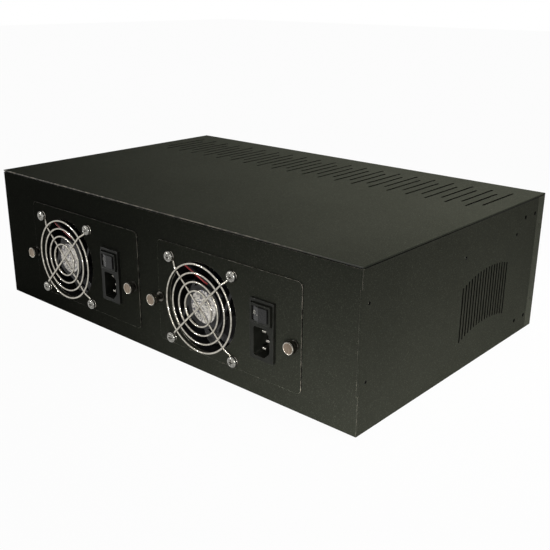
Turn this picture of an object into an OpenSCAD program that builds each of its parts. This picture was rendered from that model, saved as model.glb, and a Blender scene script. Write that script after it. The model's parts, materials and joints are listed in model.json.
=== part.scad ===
// Media converter chassis: a three-unit sheet-metal housing with a row of card positions at the
// front and two slide-in power modules at the rear. The origin is the centre of the base's
// underside, X runs across, the rear panel faces -Y and Z is up.

/* [Chassis body] */
// Width of the body
body_w = 440; // [430:1:460]
// Depth from the rear panel to the front face
body_d = 280; // [272:1:320]
// Height of the body
body_h = 128; // [125:1:150]
// Thickness of the steel sheet
sheet_t = 1.2; // [0.8:0.1:1.6]
// Inner radius of the fold under the cover
fold_r = 0.4; // [0.2:0.1:1]
// Width of the folded flanges
flange_w = 10; // [8:1:12]
// Depth of the front frame's returns
front_strip = 12; // [10:1:16]
// Height at which the side panel's rear tab starts
tab_low = 31.7; // [20:0.5:40]
// Height of the side panel's rear tab
tab_h = 79.8; // [60:0.5:84]

/* [Top cover slots] */
// Length of a slot
top_slot_l = 57; // [40:1:70]
// Width of a slot
top_slot_w = 2.2; // [1.5:0.1:3]
// Pitch of the slots
top_slot_pitch = 10; // [9:0.5:11]
// Least distance from a slot to the cover's side edge
top_slot_edge = 15; // [13:1:60]
// Distance from the front face to the forward row
top_slot_front = 23; // [18:1:30]
// Setback of every other slot
top_slot_stagger = 11.3; // [6:0.1:14]

/* [Side vents] */
// Number of slots in a side vent
vent_count = 17; // [9:1:19]
// Pitch of the vent slots
vent_pitch = 4.69; // [4:0.01:5.5]
// Width of a vent slot
vent_w = 2; // [1.5:0.1:2.6]
// Length of a vent slot
vent_l = 48.4; // [30:0.1:60]
// Distance from the front face to the first vent slot
vent_front = 64; // [50:1:76]
// Radius of the arc that the slots' middles follow
vent_arc_r = 120; // [90:1:400]
// Height of the arc's top
vent_arc_z = 58.3; // [50:0.1:68]
// Distance from the front face to the arc's top
vent_arc_front = 96; // [80:1:110]

/* [Side holes] */
// Diameter of the rack-ear screw holes
ear_hole_d = 3.5; // [3:0.1:4.5]
// Spacing of a pair of rack-ear holes
ear_pitch_y = 18.5; // [14:0.5:20]
// Height between the two pairs
ear_pitch_z = 98; // [80:0.5:100]
// Distance from the front face to the nearest rack-ear hole
ear_front = 17.5; // [16:0.1:22]
// Height of the lower pair
ear_low_z = 14.4; // [12:0.1:20]
// Diameter of the small assembly holes
pilot_d = 2.6; // [2:0.1:3.2]
// Height of the upper row of assembly holes
pilot_row_z = 99.8; // [90:0.1:106]
// Distance of the rear assembly holes from the rear face
pilot_rear_in = 8.9; // [6:0.1:10]
// Height of the lower rear assembly hole
pilot_rear_z = 40.4; // [34:0.1:60]
// Distance of the middle assembly hole from the rear face
pilot_mid_in = 141; // [120:1:160]
// Distance of the forward assembly hole from the front face
pilot_fore_front = 50.2; // [46:0.1:60]
// Distance of the frame's side holes from the front face
pilot_strip_front = 6; // [4:0.1:8]
// Height of the frame's lower side hole
pilot_strip_z = 27.9; // [24:0.1:50]

/* [Card bay] */
// Pitch of the card positions
card_pitch = 25.4; // [24:0.1:25.6]
// Height of the card bay's floor
bay_low = 8; // [6:0.5:10]
// Depth of the card bay's ceiling below the cover's underside
bay_drop = 8.8; // [7:0.1:11]
// Space at each side of the card bay
bay_side = 14; // [12:1:15]
// Height of a card guide
guide_h = 5; // [4:0.5:7]
// Width of a card guide
guide_w = 6; // [5:0.5:8]
// Width of the groove in a card guide
groove_w = 2.2; // [1.8:0.1:3]
// Depth of the groove in a card guide
groove_d = 3; // [2:0.5:3.5]
// Diameter of the card-fixing screw holes
card_hole_d = 2.5; // [2:0.1:3.2]
// Thickness of the circuit boards
board_t = 1.6; // [1:0.1:2.4]
// Length of the backplane's stand-offs
standoff_l = 8; // [6:0.5:10]
// Width of a card socket
card_socket_w = 9; // [7:0.5:11]
// Height of a card socket
card_socket_h = 50; // [30:1:60]
// Depth of a card socket
card_socket_d = 11; // [8:0.5:14]

/* [Power modules] */
// Distance between the middles of the two modules
module_spacing = 183; // [180:1:190]
// Height of the face plates' lower edge
plate_low = 16; // [15:0.5:20]
// Width of a face plate
plate_w = 156.5; // [155:0.5:162]
// Height of a face plate
plate_h = 89; // [88.5:0.5:94]
// Thickness of a face plate
plate_t = 1.2; // [0.8:0.1:2]
// Corner radius of a face plate
plate_r = 4.5; // [2:0.5:6]
// Space between the rear panel and a seated face plate
seat_gap = 0.2; // [0.1:0.05:0.4]
// Distance of the thumbscrews below the plate's middle
thumb_drop = 5.5; // [0:0.5:10]
// Distance of the first thumbscrew from the plate's edge
thumb_in_1 = 3.1; // [3:0.1:3.6]
// Distance of the second thumbscrew from the plate's edge
thumb_in_2 = 5.8; // [5.4:0.1:7]
// Distance from a thumbscrew to the module's case
case_from_screw = 6.4; // [6:0.1:7]
// Overlap of the face plate below the case
plate_lip_low = 1.2; // [1:0.1:1.4]
// Overlap of the face plate above the case
plate_lip_high = 3.8; // [3:0.1:4]
// Depth of the module's case behind the rear face
case_d = 120; // [112:1:122]
// Thickness of the case's sheet
case_t = 0.8; // [0.6:0.1:1]
// Clearance of the case in the rear panel's cut-out
cutout_gap = 0.3; // [0.2:0.05:0.5]

/* [Fans] */
// Size of the square fan frame
fan_size = 80; // [76:0.5:80.5]
// Thickness of the fan
fan_t = 25; // [20:0.5:26]
// Space between the fan and the case's side wall
fan_side_gap = 2.35; // [2:0.05:3]
// Difference between the fan's size and its screw spacing
fan_screw_in = 8.5; // [8:0.1:9.5]
// Wall between the fan's bore and its outer face
fan_wall = 2; // [1.8:0.1:2.6]
// Radius of the fan's hub
hub_r = 17.2; // [15:0.1:19]
// Number of fan blades
blade_count = 7; // [5:1:9]
// Diameter of the fan's shaft
shaft_d = 3; // [2:0.1:4]

/* [Finger guards] */
// Diameter of the guard's wire
wire_d = 1.7; // [1.4:0.1:1.9]
// Number of rings
ring_count = 4; // [2:1:4]
// Distance between rings
ring_step = 7.43; // [6:0.01:8]
// Space between the outer ring and the fan's bore
ring_in = 0.7; // [0:0.1:2]
// Distance from the face plate to the rings' plane
guard_proud = 4.5; // [4:0.1:6]
// Diameter of the guard screws' heads
guard_head_d = 9.5; // [9:0.1:10]
// Height of the guard screws' heads
guard_head_h = 3; // [2.4:0.1:3.4]

/* [Power inlets] */
// Width of the inlet's bezel
inlet_w = 24; // [23:0.5:26]
// Height of the inlet's bezel
inlet_h = 49; // [48:0.5:54]
// Distance of the inlet's middle from the plate's edge
inlet_in = 36.65; // [32:0.05:39]
// How far the bezel stands proud of the face plate
bezel_t = 3; // [2:0.1:4]
// How far the switch's frame stands proud of the bezel
frame_proud = 1.8; // [1:0.1:2.4]
// Depth of the inlet's body behind the face plate
inlet_d = 26; // [24:0.5:30]
// Width of the socket's recess
socket_w = 16.3; // [16:0.1:17]
// Height of the socket's recess
socket_h = 24; // [23.5:0.1:25]
// Depth of the socket's recess
socket_d = 17; // [15:0.5:18]
// Width of the rocker
rocker_w = 16.2; // [14:0.1:16.6]
// Height of the rocker
rocker_h = 11.2; // [9:0.1:11.4]
// Full swing of the rocker in degrees
rocker_swing = 14; // [8:1:16]

/* [Thumbscrews] */
// Diameter of the knurled head
thumb_d = 10.4; // [8:0.1:11]
// Length of the knurled head
thumb_head_l = 5; // [3:0.1:6]
// Distance from the face plate to the head's face
thumb_proud = 8.6; // [8:0.1:11]
// How far the right module's first thumbscrew stands loosened
thumb_loose = 4; // [0:0.5:5]
// Number of knurls round the head
knurl_count = 36; // [18:1:48]
// Diameter of the screw's thread
thread_d = 4; // [3:0.1:4.2]

/* [Hidden] */
$fn = 64;

// Overrun of every cut past the face that it opens
cut = 1;
// Clearance between parts that slide into each other
slide_gap = 0.3;
// Radial clearance of a turning shaft
run_gap = 0.05;
// Clearance round a piece that is dropped in loosely
loose_gap = 1;
// Clearance of a lead's end from what it meets
end_gap = 0.6;

// Chassis planes
half_w = body_w / 2;
y_rear = -body_d / 2;
y_front = body_d / 2;
cover_z = body_h - sheet_t;
fold_out = fold_r + sheet_t;
strip_gap = 0.5;
side_front = y_front - front_strip - strip_gap;
inner_w = half_w - sheet_t;
top_slot_side_count = floor((half_w - top_slot_edge) / top_slot_pitch);
end_trim = 16;
seam_gap = 0.2;

// Power module planes, measured from the plate's middle on the rear panel's outer face
plate_x = plate_w / 2;
plate_z = plate_h / 2;
plate_out = -seat_gap - plate_t;
thumb_x1 = -plate_x + thumb_in_1;
thumb_x2 = plate_x - thumb_in_2;
case_x0 = thumb_x1 + case_from_screw;
case_x1 = thumb_x2 - case_from_screw;
case_z0 = -plate_z + plate_lip_low;
case_z1 = plate_z - plate_lip_high;
case_floor = case_z0 + case_t;
fan_x = case_x0 + case_t + fan_side_gap + fan_size / 2;
fan_z = case_floor + fan_size / 2;
fan_r = fan_size / 2 - fan_wall;
fan_screw = (fan_size - fan_screw_in) / 2;
inlet_x = plate_x - inlet_in;
inlet_z = fan_z;

// Inside the module
psu_standoff_h = 6;
psu_standoff_d = 5;
psu_board_gap = 9;
psu_board_side = 2;
psu_board_back = 5;
psu_board_z = case_floor + psu_standoff_h;
psu_board_top = psu_board_z + board_t;
psu_board_x0 = case_x0 + case_t + psu_board_side;
psu_board_x1 = case_x1 - case_t - psu_board_side;
psu_board_y0 = fan_t + psu_board_gap;
psu_board_y1 = case_d - case_t - psu_board_back;
psu_board_w = psu_board_x1 - psu_board_x0;
psu_board_l = psu_board_y1 - psu_board_y0;

// Docking connector, bulkhead and backplane
dock_w = 50;
dock_h = 12;
dock_hold = 14;
dock_reach = 5;
dock_wall = 2;
dock_seat = 3;
dock_gap = 8;
dock_z = psu_board_top + dock_h / 2;
bulk_y = y_rear + case_d + dock_gap;
board_y = bulk_y + sheet_t + standoff_l;
board_front = board_y + board_t;
board_low_gap = 4;
board_side_in = 15;
board_z0 = bay_low + board_low_gap;
board_z1 = cover_z - bay_drop - board_low_gap;
standoff_d = 6;
standoff_cols_shares = [-0.92, -0.36, 0.36, 0.92];
standoff_rows_shares = [-0.86, 0.86];
standoff_head_h = 2;

// Card bay
bay_high = cover_z - bay_drop;
bay_half = half_w - bay_side;
tray_half = bay_half - seam_gap;
card_count = floor(2 * bay_half / card_pitch);
tray_front = y_front - front_strip - strip_gap;
guide_back_gap = 2;
guide_y0 = board_front + card_socket_d + guide_back_gap;
guide_y1 = tray_front - guide_back_gap;

// Colours
paint = "#2f312c";
zinc = "#b9bcbd";
inner_paint = "#3a3c38";
chrome_tone = "#dcdcda";
nickel_tone = "#c9b99a";
black_plastic = "#1b1b1c";
board_green = "#1f5a36";

// Sketches and sweeps

// Carries a sketch of X and Z along +Y
module along_y(l) {
    rotate([90, 0, 0]) mirror([0, 0, 1]) linear_extrude(l) children();
}

// Carries a sketch of Y and Z along +X
module along_x(l) {
    rotate([90, 0, 90]) linear_extrude(l) children();
}

// Rectangle from one corner to the other
module rect(x0, z0, x1, z1) {
    translate([x0, z0]) square([x1 - x0, z1 - z0]);
}

// Box from one corner to the other
module block(a, b) {
    translate(a) cube([b[0] - a[0], b[1] - a[1], b[2] - a[2]]);
}

// Centred rectangle with true round corners
module rounded(w, h, r) {
    square([w - 2 * r, h], center = true);
    square([w, h - 2 * r], center = true);
    for (sx = [-1, 1], sz = [-1, 1])
        translate([sx * (w / 2 - r), sz * (h / 2 - r)]) circle(r);
}

// Upright slot with round ends, centred
module slot(w, l) {
    square([w, l - w], center = true);
    for (s = [-1, 1]) translate([0, s * (l - w) / 2]) circle(d = w);
}

// Mirrors a right-hand part for the left side
module handed(side) {
    if (side < 0) mirror([1, 0, 0]) children();
    else children();
}

// Moves a module's own frame to its place in the chassis
module at_module(side) {
    translate([side * module_spacing / 2, y_rear, plate_low + plate_z]) children();
}

// Tube swept along a route: rings square to the path, closed at both ends
function unit(v) = v / norm(v);
function route_dir(p, i) =
    let (n = len(p) - 1)
    i == 0 ? unit(p[1] - p[0]) : i == n ? unit(p[n] - p[n - 1]) : unit(p[i + 1] - p[i - 1]);
function turned(u, d) = unit(u - (u * d) * d);
function frames(p, i, u) = i == len(p) ? [] :
    let (v = turned(u, route_dir(p, i))) concat([v], frames(p, i + 1, v));
function spline_point(a, b, c, d, t) =
    0.5 * (2 * b + (c - a) * t + (2 * a - 5 * b + 4 * c - d) * t * t
    + (3 * b - a - 3 * c + d) * t * t * t);
function smooth(p, steps) =
    let (n = len(p) - 1)
    concat([for (i = [0 : n - 1], k = [0 : steps - 1])
        spline_point(p[max(i - 1, 0)], p[i], p[i + 1], p[min(i + 2, n)], k / steps)], [p[n]]);
module tube_along(route, d, sides) {
    // A direction that none of the routes runs along
    side_way_share = [0.31, 0.17, 0.93];
    u = frames(route, 0, side_way_share);
    n = len(route);
    points = [for (i = [0 : n - 1], k = [0 : sides - 1])
        let (w = cross(route_dir(route, i), u[i]), a = 360 * k / sides)
        route[i] + (u[i] * cos(a) + w * sin(a)) * d / 2];
    sides_faces = [for (i = [0 : n - 2], k = [0 : sides - 1])
        let (a = i * sides + k, b = i * sides + (k + 1) % sides)
        each [[a, a + sides, b], [b, a + sides, b + sides]]];
    first_cap = [for (k = [1 : sides - 2]) [0, k, k + 1]];
    last_cap = [for (k = [1 : sides - 2])
        [(n - 1) * sides, (n - 1) * sides + k + 1, (n - 1) * sides + k]];
    polyhedron(points, concat(sides_faces, first_cap, last_cap));
}

// Chassis shell

module base_pan() {
    pan_y0 = y_rear + sheet_t;
    pan_y1 = y_front - sheet_t;
    rim_y0 = y_rear + sheet_t + flange_w + fold_out;
    rim_y1 = side_front - 2 * flange_w;
    color(inner_paint) {
        block([-inner_w, pan_y0, 0], [inner_w, pan_y1, sheet_t]);
        for (s = [-1, 1]) {
            x_in = s * (inner_w - sheet_t);
            x_out = s * inner_w;
            block([min(x_in, x_out), rim_y0, sheet_t], [max(x_in, x_out), rim_y1, flange_w]);
        }
    }
}

// Holes that both the side panel and what lies behind it carry
module pilot_holes() {
    for (z = [pilot_row_z, pilot_rear_z])
        translate([y_rear + pilot_rear_in, z]) circle(d = pilot_d);
    translate([y_rear + pilot_mid_in, pilot_row_z]) circle(d = pilot_d);
    translate([y_front - pilot_fore_front, pilot_row_z]) circle(d = pilot_d);
}

module strip_holes() {
    for (z = [pilot_row_z, pilot_strip_z])
        translate([y_front - pilot_strip_front, z]) circle(d = pilot_d);
}

module ear_holes() {
    for (i = [0, 1], j = [0, 1])
        translate([y_front - ear_front - i * ear_pitch_y, ear_low_z + j * ear_pitch_z])
            circle(d = ear_hole_d);
}

module side_vents() {
    for (i = [0 : vent_count - 1]) {
        y_from_front = vent_front + i * vent_pitch;
        off = y_from_front - vent_arc_front;
        drop = vent_arc_r - sqrt(vent_arc_r * vent_arc_r - off * off);
        translate([y_front - y_from_front, vent_arc_z - drop]) slot(vent_w, vent_l);
    }
}

// Bend of a side wall into its flange under the cover, with the start of each
module fold_profile() {
    wall_z = cover_z - fold_out;
    translate([half_w - fold_out, wall_z]) intersection() {
        difference() {
            circle(fold_out);
            circle(fold_r);
        }
        square(fold_out);
    }
    rect(inner_w, wall_z - sheet_t, half_w, wall_z);
    rect(half_w - fold_out - sheet_t, cover_z - sheet_t, half_w - fold_out, cover_z);
}

module side_panel(side) {
    wall_z = cover_z - fold_out;
    lap_y0 = side_front - flange_w;
    lap_y1 = y_front - sheet_t - seam_gap;
    lap_trim = 6;
    fold_y0 = y_rear + sheet_t;
    rim_y0 = y_rear + sheet_t + flange_w + seam_gap;
    rim_y1 = y_front - front_strip - strip_gap;
    color(paint) handed(side) {
        translate([inner_w, 0, 0]) along_x(sheet_t) difference() {
            union() {
                rect(fold_y0, 0, side_front, wall_z);
                rect(y_rear, tab_low, fold_y0, tab_low + tab_h);
            }
            pilot_holes();
            ear_holes();
            side_vents();
        }
        translate([inner_w - sheet_t, 0, 0]) along_x(sheet_t) difference() {
            rect(lap_y0, lap_trim, lap_y1, wall_z - lap_trim);
            ear_holes();
            strip_holes();
        }
        translate([0, fold_y0, 0]) along_y(side_front - fold_y0) fold_profile();
        block([half_w - fold_out - flange_w, rim_y0, cover_z - sheet_t],
              [half_w - fold_out, rim_y1, cover_z]);
    }
}

// Cut-out that a module's case slides through
module case_cutout() {
    rect(case_x0 - cutout_gap, case_z0 - cutout_gap, case_x1 + cutout_gap, case_z1 + cutout_gap);
}

module rear_panel() {
    nut_hole_d = thread_d + 2 * slide_gap;
    side_rim_x1 = inner_w - seam_gap;
    side_rim_x0 = side_rim_x1 - sheet_t;
    rim_y0 = y_rear + sheet_t;
    color(paint) {
        translate([0, y_rear, 0]) along_y(sheet_t) difference() {
            rect(-half_w, 0, half_w, cover_z);
            for (s = [-1, 1]) {
                handed(s)
                    rect(side_rim_x1, tab_low - seam_gap, half_w + cut, tab_low + tab_h + seam_gap);
                translate([s * module_spacing / 2, plate_low + plate_z]) {
                    case_cutout();
                    for (x = [thumb_x1, thumb_x2])
                        translate([x, -thumb_drop]) circle(d = nut_hole_d);
                }
            }
        }
        for (s = [-1, 1]) handed(s)
            translate([side_rim_x0, 0, 0]) along_x(sheet_t) difference() {
                rect(rim_y0, end_trim, rim_y0 + flange_w, cover_z - end_trim);
                pilot_holes();
            }
        for (z = [sheet_t, cover_z - sheet_t])
            block([end_trim - half_w, rim_y0, z],
                  [half_w - end_trim, rim_y0 + flange_w, z + sheet_t]);
    }
}

module top_cover() {
    color(paint) translate([0, 0, cover_z]) linear_extrude(sheet_t) difference() {
        rect(-half_w, y_rear, half_w, y_front);
        for (i = [-top_slot_side_count : top_slot_side_count]) {
            setback = abs(i) % 2 * top_slot_stagger;
            translate([i * top_slot_pitch, y_front - top_slot_front - setback - top_slot_l / 2])
                slot(top_slot_w, top_slot_l);
        }
    }
}

module front_frame() {
    return_y0 = y_front - front_strip;
    wall_z = cover_z - fold_out;
    hole_low = (bay_low + sheet_t) / 2;
    hole_high = (bay_high + cover_z - sheet_t) / 2;
    color(paint) {
        translate([0, y_front - sheet_t, 0]) along_y(sheet_t) difference() {
            rect(-half_w, 0, half_w, cover_z);
            rect(-bay_half, bay_low, bay_half, bay_high);
            for (i = [0 : card_count - 1], z = [hole_low, hole_high])
                translate([card_x(i), z]) circle(d = card_hole_d);
        }
        for (s = [-1, 1]) handed(s) {
            translate([inner_w, 0, 0]) along_x(sheet_t) difference() {
                rect(return_y0, 0, y_front - sheet_t, wall_z);
                strip_holes();
            }
            translate([0, return_y0, 0]) along_y(front_strip - sheet_t) fold_profile();
            block([half_w - fold_out - flange_w, return_y0, cover_z - sheet_t],
                  [half_w - fold_out, y_front - sheet_t, cover_z]);
        }
        for (z = [sheet_t, cover_z - sheet_t])
            block([end_trim - half_w, return_y0, z],
                  [half_w - end_trim, y_front - sheet_t, z + sheet_t]);
    }
}

// Card bay

function card_x(i) = (i - (card_count - 1) / 2) * card_pitch;

module bulkhead() {
    edge_x = inner_w - sheet_t - slide_gap;
    shoulder_z = cover_z - sheet_t - slide_gap;
    window_w = dock_w + 2 * dock_wall + 2 * loose_gap;
    window_h = dock_h + 2 * dock_wall + 2 * loose_gap;
    air_w = 3;
    air_l = 34;
    air_count = 8;
    air_pitch = 9;
    air_rise = 36;
    color(zinc) {
        translate([0, bulk_y, 0]) along_y(sheet_t) difference() {
            union() {
                rect(-edge_x, sheet_t, edge_x, shoulder_z);
                rect(end_trim - half_w, shoulder_z, half_w - end_trim, cover_z);
            }
            for (s = [-1, 1]) translate([s * module_spacing / 2, plate_low + plate_z]) {
                translate([0, dock_z]) square([window_w, window_h], center = true);
                for (i = [0 : air_count - 1])
                    translate([(i - (air_count - 1) / 2) * air_pitch, dock_z + air_rise])
                        slot(air_w, air_l);
            }
        }
        block([end_trim - half_w, bulk_y - flange_w, sheet_t],
              [half_w - end_trim, bulk_y, 2 * sheet_t]);
    }
}

function standoff_x(k) = k * (half_w - board_side_in);
function standoff_z(k) = (board_z0 + board_z1) / 2 + k * (board_z1 - board_z0) / 2;

module backplane_board() {
    color(board_green)
        block([board_side_in - half_w, board_y, board_z0],
              [half_w - board_side_in, board_front, board_z1]);
}

module backplane_standoffs() {
    color(nickel_tone) for (kx = standoff_cols_shares, kz = standoff_rows_shares)
        translate([standoff_x(kx), 0, standoff_z(kz)]) {
            translate([0, bulk_y + sheet_t, 0]) along_y(standoff_l) circle(d = standoff_d);
            translate([0, board_front, 0]) along_y(standoff_head_h) circle(d = standoff_d);
        }
}

module card_sockets() {
    contact_w = 2.4;
    contact_d = 7;
    contact_end = 3;
    mid_z = (bay_low + bay_high) / 2;
    color(black_plastic) for (i = [0 : card_count - 1])
        translate([card_x(i), board_front, mid_z]) difference() {
            along_y(card_socket_d) square([card_socket_w, card_socket_h], center = true);
            translate([0, card_socket_d - contact_d, 0]) along_y(contact_d + cut)
                square([contact_w, card_socket_h - 2 * contact_end], center = true);
        }
}

module dock_sockets() {
    socket_y0 = case_d + dock_seat;
    cavity_l = dock_reach + slide_gap;
    color(black_plastic) for (s = [-1, 1]) at_module(s) translate([0, 0, dock_z]) difference() {
        translate([0, socket_y0, 0]) along_y(board_y - y_rear - socket_y0)
            square([dock_w + 2 * dock_wall, dock_h + 2 * dock_wall], center = true);
        translate([0, socket_y0 - cut, 0]) along_y(cavity_l + cut)
            square([dock_w + 2 * slide_gap, dock_h + 2 * slide_gap], center = true);
    }
}

// Air slots in the trays lie between the guides
module tray_sheet() {
    air_w = card_pitch / 3;
    air_trim = 20;
    difference() {
        rect(-tray_half, bulk_y + sheet_t, tray_half, tray_front);
        for (i = [0 : card_count - 2])
            translate([card_x(i) + card_pitch / 2, 0])
                rect(-air_w / 2, guide_y0 + air_trim, air_w / 2, guide_y1 - air_trim);
    }
}

module card_tray_lower() {
    color(zinc) {
        translate([0, 0, bay_low - sheet_t]) linear_extrude(sheet_t) tray_sheet();
        for (y = [bulk_y + sheet_t, tray_front - sheet_t])
            block([-tray_half, y, sheet_t], [tray_half, y + sheet_t, bay_low - sheet_t]);
    }
}

module card_tray_upper() {
    color(zinc) {
        translate([0, 0, bay_high]) linear_extrude(sheet_t) tray_sheet();
        for (y = [bulk_y + sheet_t, tray_front - sheet_t])
            block([end_trim - half_w, y, bay_high + sheet_t],
                  [half_w - end_trim, y + sheet_t, cover_z - sheet_t]);
    }
}

// Grooved guide lying on z = 0 with the groove facing up
module card_guide() {
    translate([0, guide_y0, 0]) along_y(guide_y1 - guide_y0) difference() {
        rect(-guide_w / 2, 0, guide_w / 2, guide_h);
        rect(-groove_w / 2, guide_h - groove_d, groove_w / 2, guide_h + cut);
    }
}

module card_guides_lower() {
    color(black_plastic) for (i = [0 : card_count - 1])
        translate([card_x(i), 0, bay_low]) card_guide();
}

module card_guides_upper() {
    color(black_plastic) for (i = [0 : card_count - 1])
        translate([card_x(i), 0, bay_high]) mirror([0, 0, 1]) card_guide();
}

// Module mountings in the chassis

// Z-shaped rail: foot on the base, web, ledge under the case and a lip beside it
module rail(x_edge, hand) {
    rail_ledge = 9;
    rail_foot = 8;
    rail_lip = 6;
    rail_y0 = sheet_t + flange_w + 2 * loose_gap;
    rail_y1 = case_d + dock_gap - flange_w - slide_gap;
    ledge_z = plate_low + plate_z + case_z0 - slide_gap;
    web_x = slide_gap;
    translate([x_edge, y_rear + rail_y0, 0]) handed(hand) along_y(rail_y1 - rail_y0) {
        rect(-rail_ledge, ledge_z - sheet_t, web_x + sheet_t, ledge_z);
        rect(web_x, sheet_t, web_x + sheet_t, ledge_z + rail_lip);
        rect(web_x, sheet_t, web_x + rail_foot, 2 * sheet_t);
    }
}

module module_rails() {
    color(zinc) for (s = [-1, 1]) {
        rail(s * module_spacing / 2 + case_x1, 1);
        rail(s * module_spacing / 2 + case_x0, -1);
    }
}

module clinch_nuts() {
    nut_d = 8;
    nut_l = 6;
    color(zinc) for (s = [-1, 1]) at_module(s) for (x = [thumb_x1, thumb_x2])
        translate([x, sheet_t, -thumb_drop]) along_y(nut_l) difference() {
            circle(d = nut_d);
            circle(d = thread_d + slide_gap);
        }
}

// Power module: sheet metal

module psu_plate(side) {
    screw_hole_d = 4.4;
    collar_hole_d = collar_bore_d;
    color(paint) at_module(side) translate([0, plate_out, 0]) along_y(plate_t) difference() {
        rounded(plate_w, plate_h, plate_r);
        translate([fan_x, fan_z]) circle(fan_r);
        for (sx = [-1, 1], sz = [-1, 1])
            translate([fan_x + sx * fan_screw, fan_z + sz * fan_screw]) circle(d = screw_hole_d);
        translate([inlet_x, inlet_z])
            square([inlet_body_w, inlet_body_h] + 2 * seam_gap * [1, 1], center = true);
        for (x = [thumb_x1, thumb_x2]) translate([x, -thumb_drop]) circle(d = collar_hole_d);
    }
}

module psu_tray(side) {
    wall_z = case_z1 - case_t;
    slot_w = 2.5;
    slot_l = 22;
    slot_count = 9;
    slot_pitch = 7;
    hole_count = 12;
    color(zinc) at_module(side) {
        block([case_x0, -seat_gap, case_z0], [case_x1, case_d, case_floor]);
        for (x = [case_x0, case_x1 - case_t])
            translate([x, 0, 0]) along_x(case_t) difference() {
                rect(-seat_gap, case_floor, case_d, wall_z);
                for (i = [0 : slot_count - 1])
                    translate([psu_board_y0 + slot_l / 2 + i * slot_pitch, (case_floor + wall_z) / 2])
                        slot(slot_w, slot_l);
            }
        translate([0, case_d - case_t, 0]) along_y(case_t) difference() {
            rect(case_x0 + case_t, case_floor, case_x1 - case_t, wall_z);
            translate([0, dock_z]) square([dock_w, dock_h] + 2 * slide_gap * [1, 1], center = true);
            for (i = [0 : hole_count - 1])
                translate([(i - (hole_count - 1) / 2) * slot_pitch, dock_z + dock_h + slot_l])
                    slot(slot_w, slot_l);
        }
        for (x = psu_standoffs_x(), y = psu_standoffs_y())
            translate([x, y, case_floor]) cylinder(d = psu_standoff_d, h = psu_standoff_h);
    }
}

function psu_standoffs_x() = [psu_board_x0 + psu_standoff_d, psu_board_x1 - psu_standoff_d];
function psu_standoffs_y() = [psu_board_y0 + psu_standoff_d, psu_board_y1 - psu_standoff_d];

module psu_lid(side) {
    lip_h = 6;
    lip_y0 = fan_t + psu_board_gap;
    slot_w = 3;
    slot_l = 50;
    slot_count = 11;
    slot_pitch = 10;
    color(zinc) at_module(side) {
        translate([0, 0, case_z1 - case_t]) linear_extrude(case_t) difference() {
            rect(case_x0, -seat_gap, case_x1, case_d);
            for (i = [0 : slot_count - 1])
                translate([(case_x0 + case_x1) / 2 + (i - (slot_count - 1) / 2) * slot_pitch,
                           psu_board_y0 + psu_board_l / 2]) slot(slot_w, slot_l);
        }
        for (x = [case_x0 + case_t, case_x1 - 2 * case_t])
            block([x, lip_y0, case_z1 - case_t - lip_h],
                  [x + case_t, case_d - case_t, case_z1 - case_t]);
    }
}

// Power module: electronics. Places are shares of the circuit board

function on_board(kx, ky) =
    [psu_board_x0 + kx * psu_board_w, psu_board_y0 + ky * psu_board_l, psu_board_top];

module psu_board(side) {
    color(board_green) at_module(side)
        block([psu_board_x0, psu_board_y0, psu_board_z], [psu_board_x1, psu_board_y1, psu_board_top]);
}

module transformer(side) {
    core_w_share = 0.28;
    core_l_share = 0.37;
    core_w = psu_board_w * core_w_share;
    core_l = psu_board_l * core_l_share;
    core_h = 30;
    core_leg = 8;
    winding_bulge = 3;
    place_shares = [0.54, 0.42];
    color("#5a4a30") at_module(side) translate(on_board(place_shares[0], place_shares[1])) {
        for (z = [0, core_h - core_leg])
            translate([-core_w / 2, -core_l / 2, z]) cube([core_w, core_l, core_leg]);
        translate([-core_w / 2 + core_leg / 2, -core_l / 2 - winding_bulge, core_leg])
            cube([core_w - core_leg, core_l + 2 * winding_bulge, core_h - 2 * core_leg]);
    }
}

module capacitors(side) {
    bulk_d = 25;
    bulk_h = 40;
    small_d = 12;
    small_h = 22;
    bulk_shares = [[0.13, 0.24], [0.13, 0.62]];
    small_shares = [[0.92, 0.3], [0.92, 0.5], [0.92, 0.7], [0.92, 0.9]];
    color("#23324a") at_module(side) {
        for (k = bulk_shares) translate(on_board(k[0], k[1])) cylinder(d = bulk_d, h = bulk_h);
        for (k = small_shares) translate(on_board(k[0], k[1])) cylinder(d = small_d, h = small_h);
    }
}

module heatsinks(side) {
    sink_t = 3;
    sink_h = 44;
    sink_l_share = 0.62;
    sink_l = psu_board_l * sink_l_share;
    fin_l = 9;
    fin_t = 1.2;
    fin_count = 6;
    fin_step = sink_h / fin_count;
    sink_shares = [0.32, 0.79];
    row_share = 0.48;
    color("silver") at_module(side) for (k = sink_shares)
        translate(on_board(k, row_share) - [0, sink_l / 2, 0]) {
            cube([sink_t, sink_l, sink_h]);
            for (i = [1 : fin_count])
                translate([-fin_l, 0, i * fin_step - fin_t]) cube([fin_l, sink_l, fin_t]);
        }
}

module dock_plug(side) {
    tongue_y1 = case_d + dock_seat + dock_reach;
    color("#e4e2d8") at_module(side)
        block([-dock_w / 2, psu_board_y1 - dock_hold, psu_board_top],
              [dock_w / 2, tongue_y1, psu_board_top + dock_h]);
}

// Power module: fan

// The tangent strut's two ends, counted from the fan's axis
strut_hub_x = 2;
strut_hub_z = 20;
strut_rim_x = -23;
strut_rim_z = 31;
strut_w = 2.6;
motor_base_r = 18.4;
motor_base_t = 2.6;
label_t = 0.3;
fan_flange_t = 3.6;
bearing_d = 8;
bearing_l = 15;
rotor_gap = 1;
rotor_back = 1.5;
lead_notch = 3;

// Moves to the fan's axis with Y = 0 on the plate's inner face
module at_fan(side) {
    at_module(side) translate([fan_x, -seat_gap, fan_z]) children();
}

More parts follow.
